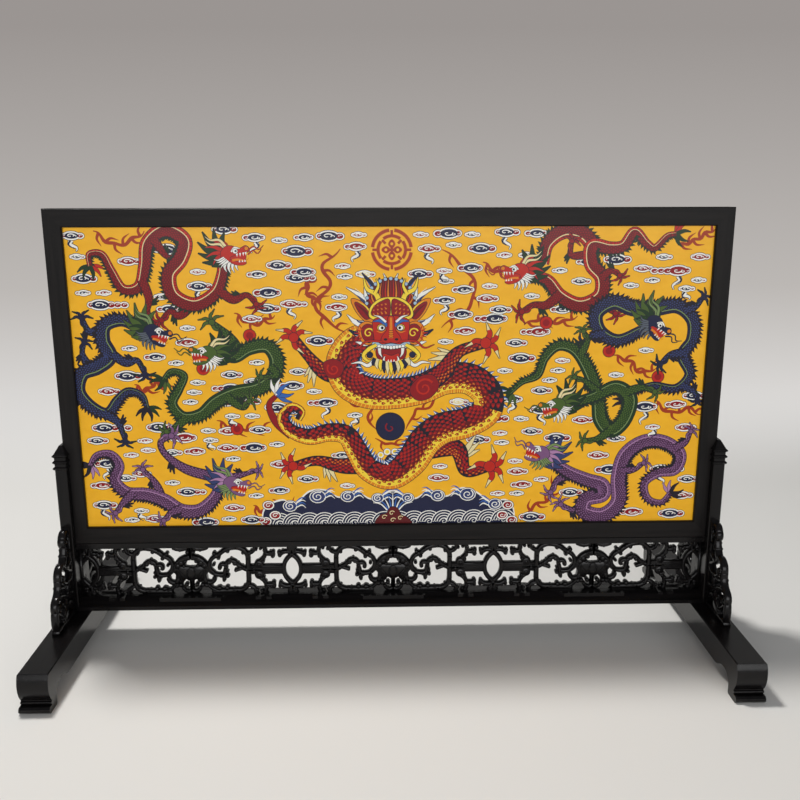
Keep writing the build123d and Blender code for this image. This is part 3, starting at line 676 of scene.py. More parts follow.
def pearl_with_flames():
    """The dark pearl that the great dragon guards, with fire round it."""
    for points in (
        [(-14, -46), (-22, -34), (-20, -24), (-34, -22), (-42, -14)],
        [(12, -46), (20, -34), (22, -26), (34, -24), (42, -12), (52, -12)],
        [(-16, -54), (-8, -60), (0, -58), (10, -60), (18, -50)],
    ):
        flame(points, 2.8, 3)
    disc((-2, -43), 12.6, "navy", rim="ink", line=0.9, corners=40)
    curl((-2, -44), 5.0, 0.9, 2.2, 1.3, "crimson")
    for x, y, r in ((-11, -70, 3.0), (-5, -67, 3.2), (2, -67, 3.2), (8, -70, 3.0)):
        disc((x, y), r, "white", rim="ink", line=0.4, corners=12)
        disc((x, y), r - 1.2, "lemon", corners=10)
    blob([(-7, -80), (-6, -73), (-1.5, -70), (3, -73), (4, -80)], "navy")
    lock([(-4, -78), (-2.5, -74), (-1, -72)], [1.6, 2.2, 0.4], "sky", None)


def medallion(at):
    """A round fret: two broken rings, four spokes and a quatrefoil."""
    for radius, width, shift in ((17.0, 2.6, 0.0), (12.0, 2.4, math.pi / 4)):
        for k in range(4):
            start = shift + k * math.pi / 2
            turn = np.linspace(start + 0.13, start + math.pi / 2 - 0.13, 12)
            path = np.asarray(at) + radius * on_circle(turn)
            half = np.full(len(path), width / 2)
            band(path, half + 0.4, -half - 0.4, "amber")
            band(path, half, -half, "flame")
    for k in range(8):
        aim = heading(45 * k)[0]
        inner, outer = (7.6, 12.0) if k % 2 else (11.0, 17.0)
        lock([at + aim * inner, at + aim * outer], [2.3, 2.3], "flame", None)
    for k in range(4):
        aim, side = heading(90 * k)
        petal = [aim * 1.2, aim * 5 + side * 3, aim * 9, aim * 5 - side * 3]
        blob([at + p for p in petal], "flame", "amber", 0.4)
        disc(at + aim * 5.2, 1.3, "ground", corners=8)
    disc(at, 1.8, "flame", corners=12)


CREST = [
    (-122, -150), (-121, -122), (-104, -112), (-92, -116), (-78, -104), (-62, -103), (-50, -110), (-34, -104),
    (-20, -112), (0, -104), (20, -112), (34, -104), (50, -110), (64, -102), (78, -106), (92, -116),
    (106, -114), (114, -124), (115, -150),
]
WHIRLS = [  # place and size
    (-96, -119, 6), (-70, -110, 7), (-42, -110, 6), (-14, -112, 5), (14, -112, 5), (42, -110, 6),
    (70, -109, 7), (96, -119, 6),
]


def waves():
    """Dark water along the foot of the picture, with white crests, curls and foam, and a small rock."""
    crest = smooth(CREST, 2.0)
    paint(crest, "white")
    paint(crest * (0.992, 1.0) - (0, 1.5), "navy")
    for x in range(-106, 112, 14):
        low = -131 + 6 * math.sin(x * 0.9)
        for k in range(4):
            radius = 11.5 - 2.5 * k
            path = np.array([x, low - 1.0]) + radius * on_circle(np.linspace(0.1, math.pi - 0.1, 14))
            half = np.full(len(path), 0.42)
            if k == 0:
                paint(path, "navy")
            band(path, half, -half, "white")
        curl((x, low), 3.4, 1.3, 0.3 if x < 0 else 2.8, 0.9, "white", 0.95, 1 if x < 0 else -1)
    for x, y, size in WHIRLS:
        lean = 1 if x < 0 else -1
        disc((x, y), size + 0.8, "white", rim="ink", high=size * 0.8 + 0.8)
        disc((x, y), size, "indigo", high=size * 0.8)
        curl((x, y), size * 0.8, 1.5, 1.0, 1.1, "white", 0.85, lean)
        for k in range(4):
            spray = [(size - 1, -2 + 2 * k), (size + 5, 1 + 2.4 * k), (size + 9, -2 + 3.2 * k)]
            lock([(x + lean * u, y + v) for u, v in spray], [0.6, 1.4, 0.3], ("white", "azure")[k % 2], None)
    for x, y in ((-116, -118), (-110, -128), (-119, -134), (108, -120), (103, -130), (112, -135)):
        disc((x, y), 5.4, "white", rim="ink", high=4.4)
        disc((x, y), 4.2, "crimson", high=3.2)
        curl((x, y), 3.0, 1.1, 0.5, 0.9, "white", 0.8, 1 if x < 0 else -1)
    for k in range(-4, 5):
        lock([(k * 1.3, -124), (k * 2.8, -114 - abs(k)), (k * 4.6, -106 - abs(k) * 2.6)], [1.4, 1.1, 0.3],
             ("white", "azure")[k % 2], None)
    rock = [(-15, -138), (-12, -129), (-6, -127), (-2, -121), (4, -122), (8, -129), (13, -131), (16, -138)]
    blob(rock, "maroon")
    for x, y in ((-8, -131), (-1, -127), (7, -132), (0, -134)):
        curl((x, y), 2.8, 1.0, 0.5, 0.8, "cream", 0.9)


CLOUDS = [  # across, up and size, then heart, side, tail and further lobes where they are not the usual
    (-277, 130, 0.8, "navy", 1, 1), (-270, 93, 0.9), (-257, 70, 1.0, "navy", 1, 0, 2),
    (-230, 108, 0.8, "crimson"), (-196, 118, 1.0, "navy", 1, 0, 1), (-203, 77, 0.6),
    (-197, 66, 0.8, "navy", -1), (-170, 86, 0.9, "navy", 1, 1), (-182, 36, 0.8, "crimson", -1),
    (-146, 135, 0.9), (-119, 128, 0.8, "navy", -1, 1), (-100, 104, 0.9), (-118, 96, 0.7, "navy", -1),
    (-109, 80, 1.0, "navy", -1), (-84, 93, 0.9, "navy", 1, 0, 1), (-125, 57, 0.7, "crimson"), (-111, 66, 0.9),
    (-84, 116, 1.1), (-77, 98, 0.9, "navy", -1), (-55, 129, 1.0), (-76, 128, 0.7, "navy", -1),
    (-90, 70, 0.8, "crimson", 1, 1, 1), (-66, 37, 1.0), (-31, 120, 0.8, "crimson", -1, 1),
    (-24, 96, 0.7, "cream"), (24, 96, 0.9), (32, 118, 0.8, "crimson", 1, 1), (50, 131, 1.0, "navy", -1),
    (78, 118, 1.0), (70, 101, 0.9, "navy", -1), (64, 82, 0.8, "navy", -1), (62, 60, 0.9, "navy", -1),
    (84, 74, 0.8, "crimson"), (100, 132, 0.9, "navy", 1, 1), (92, 56, 1.0, "navy", -1, 0, 1), (118, 112, 0.6),
    (127, 131, 0.8, "navy", -1), (96, 64, 0.8), (152, 64, 0.8, "navy", -1), (172, 106, 0.7, "navy", -1),
    (198, 108, 1.0), (167, 89, 0.7), (222, 100, 0.7, "crimson"), (240, 110, 0.6),
    (254, 98, 1.0, "crimson", -1, 1, 2), (272, 110, 0.7, "crimson"), (262, 82, 0.6, "navy", 1, 1),
    (132, 44, 0.9, "crimson", -1, 0, 1), (116, 20, 1.0), (110, -18, 0.8, "navy", -1, 1),
    (136, -28, 0.9, "navy", 1, 1, 1), (174, -38, 0.8, "crimson"), (151, -55, 1.0),
    (232, -26, 1.0, "navy", -1, 1, 1), (261, -24, 0.8, "crimson", -1), (276, -16, 0.9),
    (270, -46, 0.8, "crimson"), (190, -72, 0.8, "crimson"), (206, -56, 0.7), (202, -86, 1.0, "navy", -1),
    (250, -86, 0.9, "navy", 1, 1, 2), (276, -96, 0.8), (272, -112, 0.8, "crimson"),
    (226, -128, 0.9, "crimson", -1), (262, -130, 1.0), (166, -108, 0.9), (130, -132, 1.0),
    (121, -100, 0.8, "crimson", -1), (86, -36, 1.1, "navy", 1, 0, 1), (78, -56, 0.9), (60, -20, 0.7, "cream"),
    (-90, -4, 0.9, "navy", -1), (-85, 9, 0.7), (-60, -20, 0.9, "navy", -1, 1, 1), (-105, -24, 1.0),
    (-47, -70, 0.7, "navy", -1), (-122, -45, 0.8), (-150, -46, 0.8, "crimson"), (-127, -62, 1.0, "navy", -1),
    (-190, -52, 1.0, "crimson", -1), (-213, -42, 1.0), (-262, -42, 1.0, "navy", 1, 0, 2),
    (-256, -8, 0.8, "crimson"), (-238, 6, 1.0), (-150, -18, 1.0, "crimson", 1, 0, 3),
    (-146, -6, 0.9, "navy", -1, 0, 1), (-126, 0, 0.7), (-262, -76, 0.9, "navy", -1, 1),
    (-268, -97, 0.8, "crimson", -1), (-246, -90, 0.7), (-232, -86, 0.7, "crimson"),
    (-268, -116, 0.9, "navy", 1, 1), (-190, -104, 0.9, "navy", 1, 0, 1), (-222, -130, 0.8, "crimson"),
    (-174, -134, 1.0, "navy", -1), (-132, -132, 0.9), (-152, -62, 0.8, "crimson"), (-202, -66, 0.7),
    (-104, -78, 0.8, "crimson"),
]

FLAMES = [
    [(-45, 118), (-60, 104), (-55, 88), (-67, 70), (-60, 56), (-39, 44)],
    [(-66, 92), (-76, 86), (-72, 76), (-62, 72)],
    [(44, 117), (62, 103), (73, 86), (70, 68), (54, 55), (44, 48)],
    [(80, 106), (92, 98), (108, 96), (118, 86)],
    [(-258, 134), (-240, 122), (-222, 128), (-214, 134)],
    [(-140, 62), (-124, 52), (-112, 56), (-104, 60)],
    [(-232, -2), (-222, -8), (-212, 0), (-204, -6)],
    [(-160, -36), (-144, -44), (-128, -44), (-112, -44)],
    [(-112, -112), (-98, -126), (-88, -118), (-72, -126)],
    [(252, 120), (266, 124), (276, 130), (284, 134)],
    [(118, 50), (134, 56), (150, 52), (166, 58)],
    [(200, 22), (216, 16), (226, 6), (240, 10)],
    [(240, -20), (256, -32), (272, -28), (284, -34)],
    [(120, -136), (132, -122), (146, -114), (154, -96)],
    [(-130, -118), (-118, -128), (-112, -134), (-104, -137)],
]

PEARLS = [(-127, 42), (138, 52), (242, 2), (-142, -44), (-170, 12), (196, 26)]


def picture():
    """The whole painting: ground, fire, clouds, water, eight lesser dragons and the great one."""
    for points in FLAMES:
        flame(points, 3.3, 6)
    waves()
    for entry in CLOUDS:
        cloud(*entry)
    medallion((0.0, 117.0))
    for at in PEARLS:
        disc(at, 5.4, "scarlet", rim="ink", corners=20)
        disc(at, 3.2, "crimson", corners=14)
    small_dragon(
        "red", (-142, 112), 4, False, 1,
        [(-148, 110), (-149, 96), (-156, 80), (-174, 70), (-192, 78), (-195, 96), (-184, 110), (-180, 126),
         (-196, 135), (-212, 124), (-216, 104), (-222, 86), (-236, 84), (-245, 100), (-252, 114), (-263, 114),
         (-263, 104)],
        [(0.12, [(-152, 82), (-140, 74), (-128, 78), (-120, 70)], 9),
         (0.24, [(-176, 70), (-188, 60), (-196, 64), (-204, 56)], 9),
         (0.5, [(-206, 126), (-196, 112), (-186, 112)], 8),
         (0.68, [(-219, 92), (-214, 76), (-216, 64), (-212, 54)], 9)],
    )
    small_dragon(
        "navy", (-214, 44), -18, False, -1,
        [(-222, 46), (-238, 56), (-254, 52), (-257, 38), (-252, 24), (-264, 14), (-278, 8), (-282, -8),
         (-272, -22), (-258, -28), (-248, -16), (-238, -8), (-226, -12), (-222, -24)],
        [(-1, [(-256, 50), (-268, 46), (-274, 58)], 9),
         (0.3, [(-250, 26), (-238, 18), (-228, 20), (-222, 8)], 9),
         (0.6, [(-262, -28), (-250, -36), (-246, -46), (-244, -54)], 9),
         (-1, [(-270, 12), (-276, 26), (-274, 36)], 8)],
    )
    small_dragon(
        "green", (-164, 24), 180, True, 1,
        [(-156, 28), (-142, 22), (-128, 30), (-112, 32), (-104, 20), (-108, 4), (-122, -6), (-142, -10),
         (-160, -18), (-174, -30), (-190, -32), (-199, -20), (-192, -6), (-187, 6), (-198, 10), (-206, 2)],
        [(-1, [(-136, 26), (-146, 42), (-160, 54)], 11), (0.3, [(-110, 14), (-104, 6), (-118, 4)], 8),
         (0.45, [(-150, -14), (-136, -24), (-130, -18)], 9),
         (0.72, [(-188, -34), (-198, -42), (-206, -46)], 9)],
    )
    small_dragon(
        "purple", (-150, -98), -12, False, 1,
        [(-160, -96), (-166, -110), (-180, -122), (-197, -122), (-212, -112), (-228, -106), (-246, -104),
         (-256, -92), (-251, -78), (-258, -67), (-271, -68), (-278, -78)],
        [(-1, [(-164, -90), (-190, -82), (-208, -68), (-212, -56), (-202, -50)], 11),
         (0.3, [(-196, -120), (-206, -124), (-214, -132)], 9),
         (0.55, [(-240, -104), (-250, -114), (-258, -124)], 9),
         (-1, [(-156, -92), (-140, -88), (-126, -84)], 8), (-1, [(-214, -110), (-220, -94), (-230, -82)], 9)],
    )
    arch = [(134, 104), (137, 122), (152, 133), (169, 129), (180, 114)]
    body(arch, [8, 11, 13, 13, 12], COATS["red"], 1, SMALL_PITCH)
    small_dragon(
        "red", (114, 96), 184, True, -1,
        [(124, 94), (138, 90), (150, 76), (168, 68), (185, 76), (186, 92), (176, 104), (176, 120), (192, 118),
         (204, 120), (213, 132), (224, 122), (232, 118), (242, 128), (250, 130)],
        [(0.16, [(150, 78), (138, 68), (126, 68), (116, 62)], 10),
         (0.38, [(186, 92), (194, 98), (202, 94)], 8), (-1, [(172, 112), (158, 112), (158, 124)], 8),
         (0.3, [(176, 72), (190, 66), (200, 60)], 9)],
    )
    small_dragon(
        "navy", (234, 50), -42, False, 1,
        [(226, 46), (204, 36), (187, 44), (183, 60), (198, 70), (216, 64), (236, 64), (256, 66), (270, 54),
         (271, 36), (263, 22), (271, 4), (259, -9), (238, -6), (222, -12), (214, -22)],
        [(0.13, [(192, 42), (180, 40), (172, 34)], 9), (0.52, [(262, 62), (272, 66), (278, 74)], 8),
         (0.66, [(266, 24), (252, 22), (244, 14)], 9), (0.8, [(264, -6), (276, -12), (280, -20)], 8)],
    )
    small_dragon(
        "green", (152, -26), 192, True, -1,
        [(164, -22), (184, -16), (204, -7), (218, -18), (214, -38), (202, -49), (191, -38), (188, -20),
         (180, 4), (166, 26), (150, 31), (138, 20), (132, 4), (118, -2), (107, -12)],
        [(0.36, [(202, -48), (190, -56), (178, -58)], 9), (0.12, [(190, -14), (176, -2), (166, 2)], 8),
         (0.2, [(214, -12), (228, -8), (240, -12)], 9), (0.62, [(170, 22), (176, 36), (172, 44)], 8)],
    )
    small_dragon(
        "purple", (138, -72), 158, True, -1,
        [(146, -76), (164, -88), (182, -96), (196, -101), (197, -111), (182, -115), (180, -127), (198, -131),
         (212, -118), (211, -94), (216, -72), (233, -59), (253, -60), (268, -72), (264, -87), (248, -90),
         (236, -100), (240, -115), (253, -119), (261, -110)],
        [(0.32, [(186, -126), (170, -126), (158, -120)], 9), (0.5, [(213, -88), (226, -86), (234, -80)], 8),
         (0.66, [(262, -66), (272, -60), (276, -50)], 8), (-1, [(166, -90), (154, -96), (148, -108)], 9)],
        width=14.0,
    )
    pearl_with_flames()
    great_dragon()


def wood(name, along, dark, light, roughness, coat, gleam, grain=1.0):
    """Black lacquered hardwood whose pores and figure run along one axis, X, Y or Z."""
    material, shader = new_material(name)
    place = add_node(material, "ShaderNodeTexCoord")
    stretch = add_node(material, "ShaderNodeMapping", Scale=[0.045 if a == along else 1.0 for a in "XYZ"])
    link(place, "Object", stretch, "Vector")
    figure = noise(material, 260.0, 6.0, 0.62)
    pores = noise(material, 1500.0, 3.0, 0.7)
    for texture in (figure, pores):
        link(stretch, "Vector", texture, "Vector")
    colours = ramp(material, (0.36, dark), (0.62, light))
    link(figure, "Fac", colours, "Fac")
    link(colours, "Color", shader, "Base Color")
    rough = add_node(material, "ShaderNodeMapRange", To_Min=roughness * 0.82, To_Max=roughness * 1.22)
    link(pores, "Fac", rough, "Value")
    link(rough, "Result", shader, "Roughness")
    bump = add_node(material, "ShaderNodeBump", Strength=0.22 * grain, Distance=0.0003)
    link(pores, "Fac", bump, "Height")
    link(bump, "Normal", shader, "Normal")
    set_sockets(shader, Specular_IOR_Level=gleam, Coat_Weight=coat, Coat_Roughness=0.18)
    return material


EBONY = ((0.0045, 0.0038, 0.0038), (0.0100, 0.0082, 0.0078))
LACQUER = ((0.0030, 0.0027, 0.0029), (0.0070, 0.0060, 0.0062))
BOARD = ((0.016, 0.012, 0.010), (0.040, 0.029, 0.022))
BAMBOO = ((0.26, 0.15, 0.06), (0.50, 0.34, 0.16))
frame_wood = {a: wood(f"frame_wood_{a}", a, *EBONY, 0.42, 0.0, 0.16) for a in "XZ"}
stand_wood = {a: wood(f"stand_wood_{a}", a, *LACQUER, 0.22, 0.06, 0.20, 0.6) for a in "XYZ"}
board_wood = wood("board_wood", "X", *BOARD, 0.6, 0.0, 0.3, 2.0)
bamboo_wood = wood("bamboo_wood", "Z", *BAMBOO, 0.55, 0.0, 0.4, 2.0)


def dress(material, *nodes):
    """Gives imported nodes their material."""
    for node in nodes:
        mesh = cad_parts[node].data
        mesh.materials.clear()
        mesh.materials.append(material)


dress(frame_wood["X"], "frame_top_rail", "frame_bottom_rail", "back_bead_top", "back_bead_bottom")
dress(frame_wood["Z"], "frame_left_stile", "frame_right_stile", "back_bead_left", "back_bead_right")
dress(frame_wood["Z"], "corner_keys")
dress(stand_wood["Y"], "left_foot", "right_foot")
dress(stand_wood["Z"], "left_post", "right_post")
dress(stand_wood["X"], "lower_rail", "upper_rail")
dress(board_wood, "back_board")
dress(bamboo_wood, "back_pins", "loose_tenons")


# Stage: a pale floor that sweeps up into a grey wall, which glows with painted light, bright near the floor and
# painted darker towards its top
FLOOR_COLOUR = (0.70, 0.69, 0.665)
# Painted light on the wall: bright near the floor, with painted shade growing darker towards the top
WALL_PAINTED_LIGHT_LOW = (0.87, 0.86, 0.845)
WALL_PAINTED_LIGHT_MIDDLE = (0.50, 0.475, 0.455)
WALL_PAINTED_SHADE_HIGH = (0.325, 0.300, 0.288)
STAGE_HALF_WIDTH = 3.0
STAGE_FRONT = -2.4
SWEEP_START = 1.90
SWEEP_RADIUS = 0.40
WALL_TOP = 2.4
# Rise over run from the photograph's viewpoint: where floor turns to wall, where all is wall, and its top
HORIZON_SLOPE = -0.347
WALL_SLOPE = -0.219
TOP_SLOPE = 0.174
SWEEP_STEPS = 16


def maths(material, operation, first, second):
    """One sum on sockets or numbers."""
    node = add_node(material, "ShaderNodeMath")
    node.operation = operation
    for socket, value in zip(node.inputs, (first, second)):
        if isinstance(value, float):
            socket.default_value = value
        else:
            node.id_data.links.new(value, socket)
    return node.outputs[0]


def share(material, value, low, high):
    """A node that tells where a value lies between two limits, from 0 to 1."""
    node = add_node(material, "ShaderNodeMapRange", From_Min=low, From_Max=high)
    node.id_data.links.new(value, node.inputs["Value"])
    return node


def stage_material():
    """A pale floor, and a wall that glows with painted light for camera rays, its painted shade following its
    height as seen from the camera's place.
    """
    material, floor = new_material("stage")
    set_sockets(floor, Base_Color=(*FLOOR_COLOUR, 1.0), Roughness=0.85)
    place = add_node(material, "ShaderNodeTexCoord")
    axes = add_node(material, "ShaderNodeSeparateXYZ")
    link(place, "Object", axes, "Vector")
    rise = maths(material, "SUBTRACT", axes.outputs["Z"], CAMERA_AT[2])
    away = maths(material, "MAXIMUM", maths(material, "SUBTRACT", axes.outputs["Y"], CAMERA_AT[1]), 0.05)
    slope = maths(material, "DIVIDE", rise, away)
    height = share(material, slope, HORIZON_SLOPE, TOP_SLOPE)
    wall = ramp(material, (0.0, WALL_PAINTED_LIGHT_LOW), (0.47, WALL_PAINTED_LIGHT_MIDDLE), (1.0, WALL_PAINTED_SHADE_HIGH))
    link(height, "Result", wall, "Fac")
    # The wall glows with this painted light for camera rays, though it is no lamp
    painted_glow = add_node(material, "ShaderNodeEmission")
    link(wall, "Color", painted_glow, "Color")
    blend = share(material, slope, HORIZON_SLOPE, WALL_SLOPE)
    blend.interpolation_type = "SMOOTHSTEP"
    seen = add_node(material, "ShaderNodeLightPath").outputs["Is Camera Ray"]
    mix = add_node(material, "ShaderNodeMixShader")
    material.node_tree.links.new(maths(material, "MULTIPLY", blend.outputs["Result"], seen), mix.inputs[0])
    link(floor, 0, mix, 1)
    link(painted_glow, 0, mix, 2)
    link(mix, 0, material.node_tree.nodes["Material Output"], "Surface")
    return material


def build_stage():
    """The floor and the wall in one sheet, with a quarter round between them."""
    profile = [(STAGE_FRONT, 0.0), (SWEEP_START, 0.0)]
    for i in range(1, SWEEP_STEPS + 1):
        turn = i / SWEEP_STEPS * math.pi / 2
        profile.append((SWEEP_START + SWEEP_RADIUS * math.sin(turn), SWEEP_RADIUS * (1 - math.cos(turn))))
    profile.append((SWEEP_START + SWEEP_RADIUS, WALL_TOP))
    mesh = bpy.data.meshes.new("stage")
    points = [(s * STAGE_HALF_WIDTH, y, z) for y, z in profile for s in (-1, 1)]
    faces = [(2 * i, 2 * i + 1, 2 * i + 3, 2 * i + 2) for i in range(len(profile) - 1)]
    mesh.from_pydata(points, [], faces)
    mesh.shade_smooth()
    mesh.materials.append(stage_material())
    stage = add_object("stage", mesh)


def area_light(name, at, towards, size, watts, colour=(1.0, 1.0, 1.0)):
    """A rectangular softbox that points at a place."""
    data = bpy.data.lights.new(name, "AREA")
    data.shape = "RECTANGLE"
    data.size, data.size_y = size
    data.energy = watts
    data.color = colour
    lamp = add_object(name, data)
    lamp.location = at
    lamp.rotation_euler = (Vector(towards) - Vector(at)).to_track_quat("-Z", "Y").to_euler()


def build_lights():
    area_light("key", (-0.50, 0.33, 1.90), (0.0, 0.0, 0.0), (0.26, 0.26), 30.0, (1.0, 0.985, 0.96))
    area_light("fill", (0.15, -2.5, 0.75), (0.0, 0.0, 0.25), (2.6, 1.1), 36.0)
    world = bpy.data.worlds.new("world")
    world.use_nodes = True
    set_sockets(world.node_tree.nodes["Background"], Color=(0.93, 0.95, 1.0, 1.0), Strength=0.19)
    bpy.context.scene.world = world


place_camera()
build_stage()
build_lights()
bpy.context.scene.view_settings.view_transform = "Standard"


def yellow_glaze():
    """The ground of the painting: a warm yellow glaze, faintly uneven in tone."""
    material, shader = new_material("porcelain")
    colours = ramp(material, (0.30, (0.86, 0.425, 0.014)), (0.70, (0.925, 0.485, 0.022)))
    link(noise(material, 34.0, 4.0, 0.55), "Fac", colours, "Fac")
    link(colours, "Color", shader, "Base Color")
    set_sockets(shader, Roughness=0.28, Specular_IOR_Level=0.22)
    return material


dress(yellow_glaze(), "porcelain_panel")


# The enamels lie on the glaze in painter's order, a few thousandths of a millimetre above what they cover.
HALF_ACROSS = 284.0
HALF_UP = 137.0
GLAZE_AT = -6.5
GLAZE_GAP = 0.003
MIDDLE_AT = 252.0
COAT_STEP = 0.0016
CELL = 0.3


def trimmed(ring):
    """A ring cut off at the edges of the opening."""
    for axis, limit, sign in ((0, HALF_ACROSS, 1), (0, HALF_ACROSS, -1), (1, HALF_UP, 1), (1, HALF_UP, -1)):
        room = limit - sign * ring[:, axis]
        if (room >= 0).all():
            continue
        kept = []
        for a, b, at, to in zip(ring, np.roll(ring, -1, axis=0), room, np.roll(room, -1)):
            if at >= 0:
                kept.append(a)
            if (at >= 0) != (to >= 0):
                kept.append(a + (b - a) * (at / (at - to)))
        if len(kept) < 3:
            return None
        ring = np.array(kept)
    return ring


def covered_cells(ring):
    """The part of a fine grid that a ring covers: its window, and the cells inside the ring."""
    low = np.floor((ring.min(axis=0) + (HALF_ACROSS, HALF_UP)) / CELL).astype(int)
    high = np.floor((ring.max(axis=0) + (HALF_ACROSS, HALF_UP)) / CELL).astype(int) + 1
    across = (np.arange(low[0], high[0]) + 0.5) * CELL - HALF_ACROSS
    up = ((np.arange(low[1], high[1]) + 0.5) * CELL - HALF_UP)[:, None]
    after = np.roll(ring, -1, axis=0)
    rise = after[:, 1] - ring[:, 1]
    rise[rise == 0] = 1e-9
    meets = ring[:, 0] + (up - ring[:, 1]) * (after[:, 0] - ring[:, 0]) / rise
    spans = (ring[:, 1] > up) != (after[:, 1] > up)
    inside = ((across[None, :, None] < meets[:, None, :]) & spans[:, None, :]).sum(axis=2) % 2 == 1
    return (slice(low[1], high[1]), slice(low[0], high[0])), inside


class Coats:
    """Lays shapes on a fine grid, and keeps for each the number of coats that lie under it."""

    def __init__(self):
        grid = (int(2 * HALF_UP / CELL) + 2, int(2 * HALF_ACROSS / CELL) + 2)
        self.depth = np.zeros(grid, np.int32)
        self.owner = np.full(grid, -1, np.int32)
        self.laid, self.specks, self.done = [], set(), 0

    def lay(self):
        """Lays the shapes that have been painted since the last time."""
        for ring, colour in shapes[self.done :]:
            ring = trimmed(ring)
            if ring is None:
                continue
            window, inside = covered_cells(ring)
            under = self.depth[window]
            if inside.any():
                level = int(under[inside].max()) + 1
                under[inside] = level
                self.owner[window][inside] = len(self.laid)
            else:
                level = int(under.max()) + 1
                self.specks.add(len(self.laid))
            self.laid.append((ring, colour, level))
        self.done = len(shapes)

    def bare(self, u, v, across, up):
        """Whether nothing has been painted within a box about a place."""
        left, right = ((u + HALF_ACROSS + s * across) / CELL for s in (-1, 1))
        low, high = ((v + HALF_UP + s * up) / CELL for s in (-1, 1))
        return not self.depth[max(0, int(low)) : int(high), max(0, int(left)) : int(right)].any()

    def shown(self):
        seen = self.specks.union(np.unique(self.owner).tolist())
        return [entry for number, entry in enumerate(self.laid) if number in seen]


def fill_gaps(coats):
    """More clouds where the ground is still bare."""
    for size, across, up, pitch in ((1.0, 14.0, 8.0, 7.0), (0.78, 11.0, 6.0, 5.5), (0.55, 7.6, 4.4, 4.5)):
        for j, v in enumerate(np.arange(-HALF_UP + 6, HALF_UP - 4, pitch)):
            first = -HALF_ACROSS + 10 + (j % 3) * pitch * 0.4
            for i, u in enumerate(np.arange(first, HALF_ACROSS - 9, pitch)):
                if not coats.bare(u, v, across, up):
                    continue
                heart = ("navy", "navy", "crimson")[(i + 2 * j) % 3]
                cloud(u, v, size, heart, (-1) ** (i + j), (i * j) % 5 == 1)
                coats.lay()


def enamel_glaze():
    """Clear glaze over painted colours, read from each face, with the slight unevenness of brushed enamel."""
    material, shader = new_material("enamels")
    colour = add_node(material, "ShaderNodeAttribute")
    colour.attribute_name = "enamel"
    strength = add_node(material, "ShaderNodeMapRange", To_Min=0.86, To_Max=1.12)
    link(noise(material, 260.0, 3.0, 0.6), "Fac", strength, "Value")
    blend = add_node(material, "ShaderNodeVectorMath")
    blend.operation = "SCALE"
    link(colour, "Color", blend, "Vector")
    link(strength, "Result", blend, "Scale")
    link(blend, "Vector", shader, "Base Color")
    set_sockets(shader, Roughness=0.26, Specular_IOR_Level=0.22)
    return material


def lay_enamels():
    """Makes the painting, one face for each stroke that shows."""
    picture()
    work = Coats()
    work.lay()
    fill_gaps(work)
    corners, faces, colours = [], [], []
    for ring, colour, level in work.shown():
        first = len(corners)
        y = GLAZE_AT - GLAZE_GAP - COAT_STEP * level
        corners += [(u * MM, y * MM, (v + MIDDLE_AT) * MM) for u, v in ring]
        faces.append(range(first, first + len(ring)))
        colours += [(*COLOURS[colour], 1.0)] * len(ring)
    mesh = bpy.data.meshes.new("enamels")
    mesh.from_pydata(corners, [], faces)
    paint_layer = mesh.color_attributes.new("enamel", "FLOAT_COLOR", "CORNER")
    paint_layer.data.foreach_set("color", np.array(colours, np.float32).ravel())
    places = np.array(corners)[:, [0, 2]] / MM - (0.0, MIDDLE_AT)
    flat = mesh.uv_layers.new(name="OFBake")
    flat.data.foreach_set("uv", (0.5 + places / (2 * HALF_ACROSS + 2)).astype(np.float32).ravel())
    mesh.materials.append(enamel_glaze())
    enamels = add_object("enamels", mesh)
    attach(enamels, "screen")


lay_enamels()


# Openwork. The same strokes as the sawn solids, with smooth turns, rounded over front and back.
MOTIF_PITCH = 96.2
POST_INSIDE = 295.6
APRON_MIDDLE = 67.8
APRON_HALF_UP = 23.2
APRON_HALF_DEEP = 3.5
POST_MIDDLE = 300.8
POST_HALF_DEEP = 18.2
FOOT_TOP = 35.0
SPANDREL_HALF = 3.5
ROUNDED_AWAY = 1.7
ARC_STEP = 1.6
# Sections of the front half: share of a knob's radius or of a leaf's rounded edge, and share of the depth
KNOB_FRONT = ((0.30, 1.0), (0.72, 0.90), (0.95, 0.68), (1.0, 0.4))
LEAF_FRONT = ((1.0, 1.0), (0.45, 0.93), (0.0, 0.75))


def both_faces(front):
    """Sections of a piece that is the same front and back."""
    return [*front, *((size, -depth) for size, depth in reversed(front))]


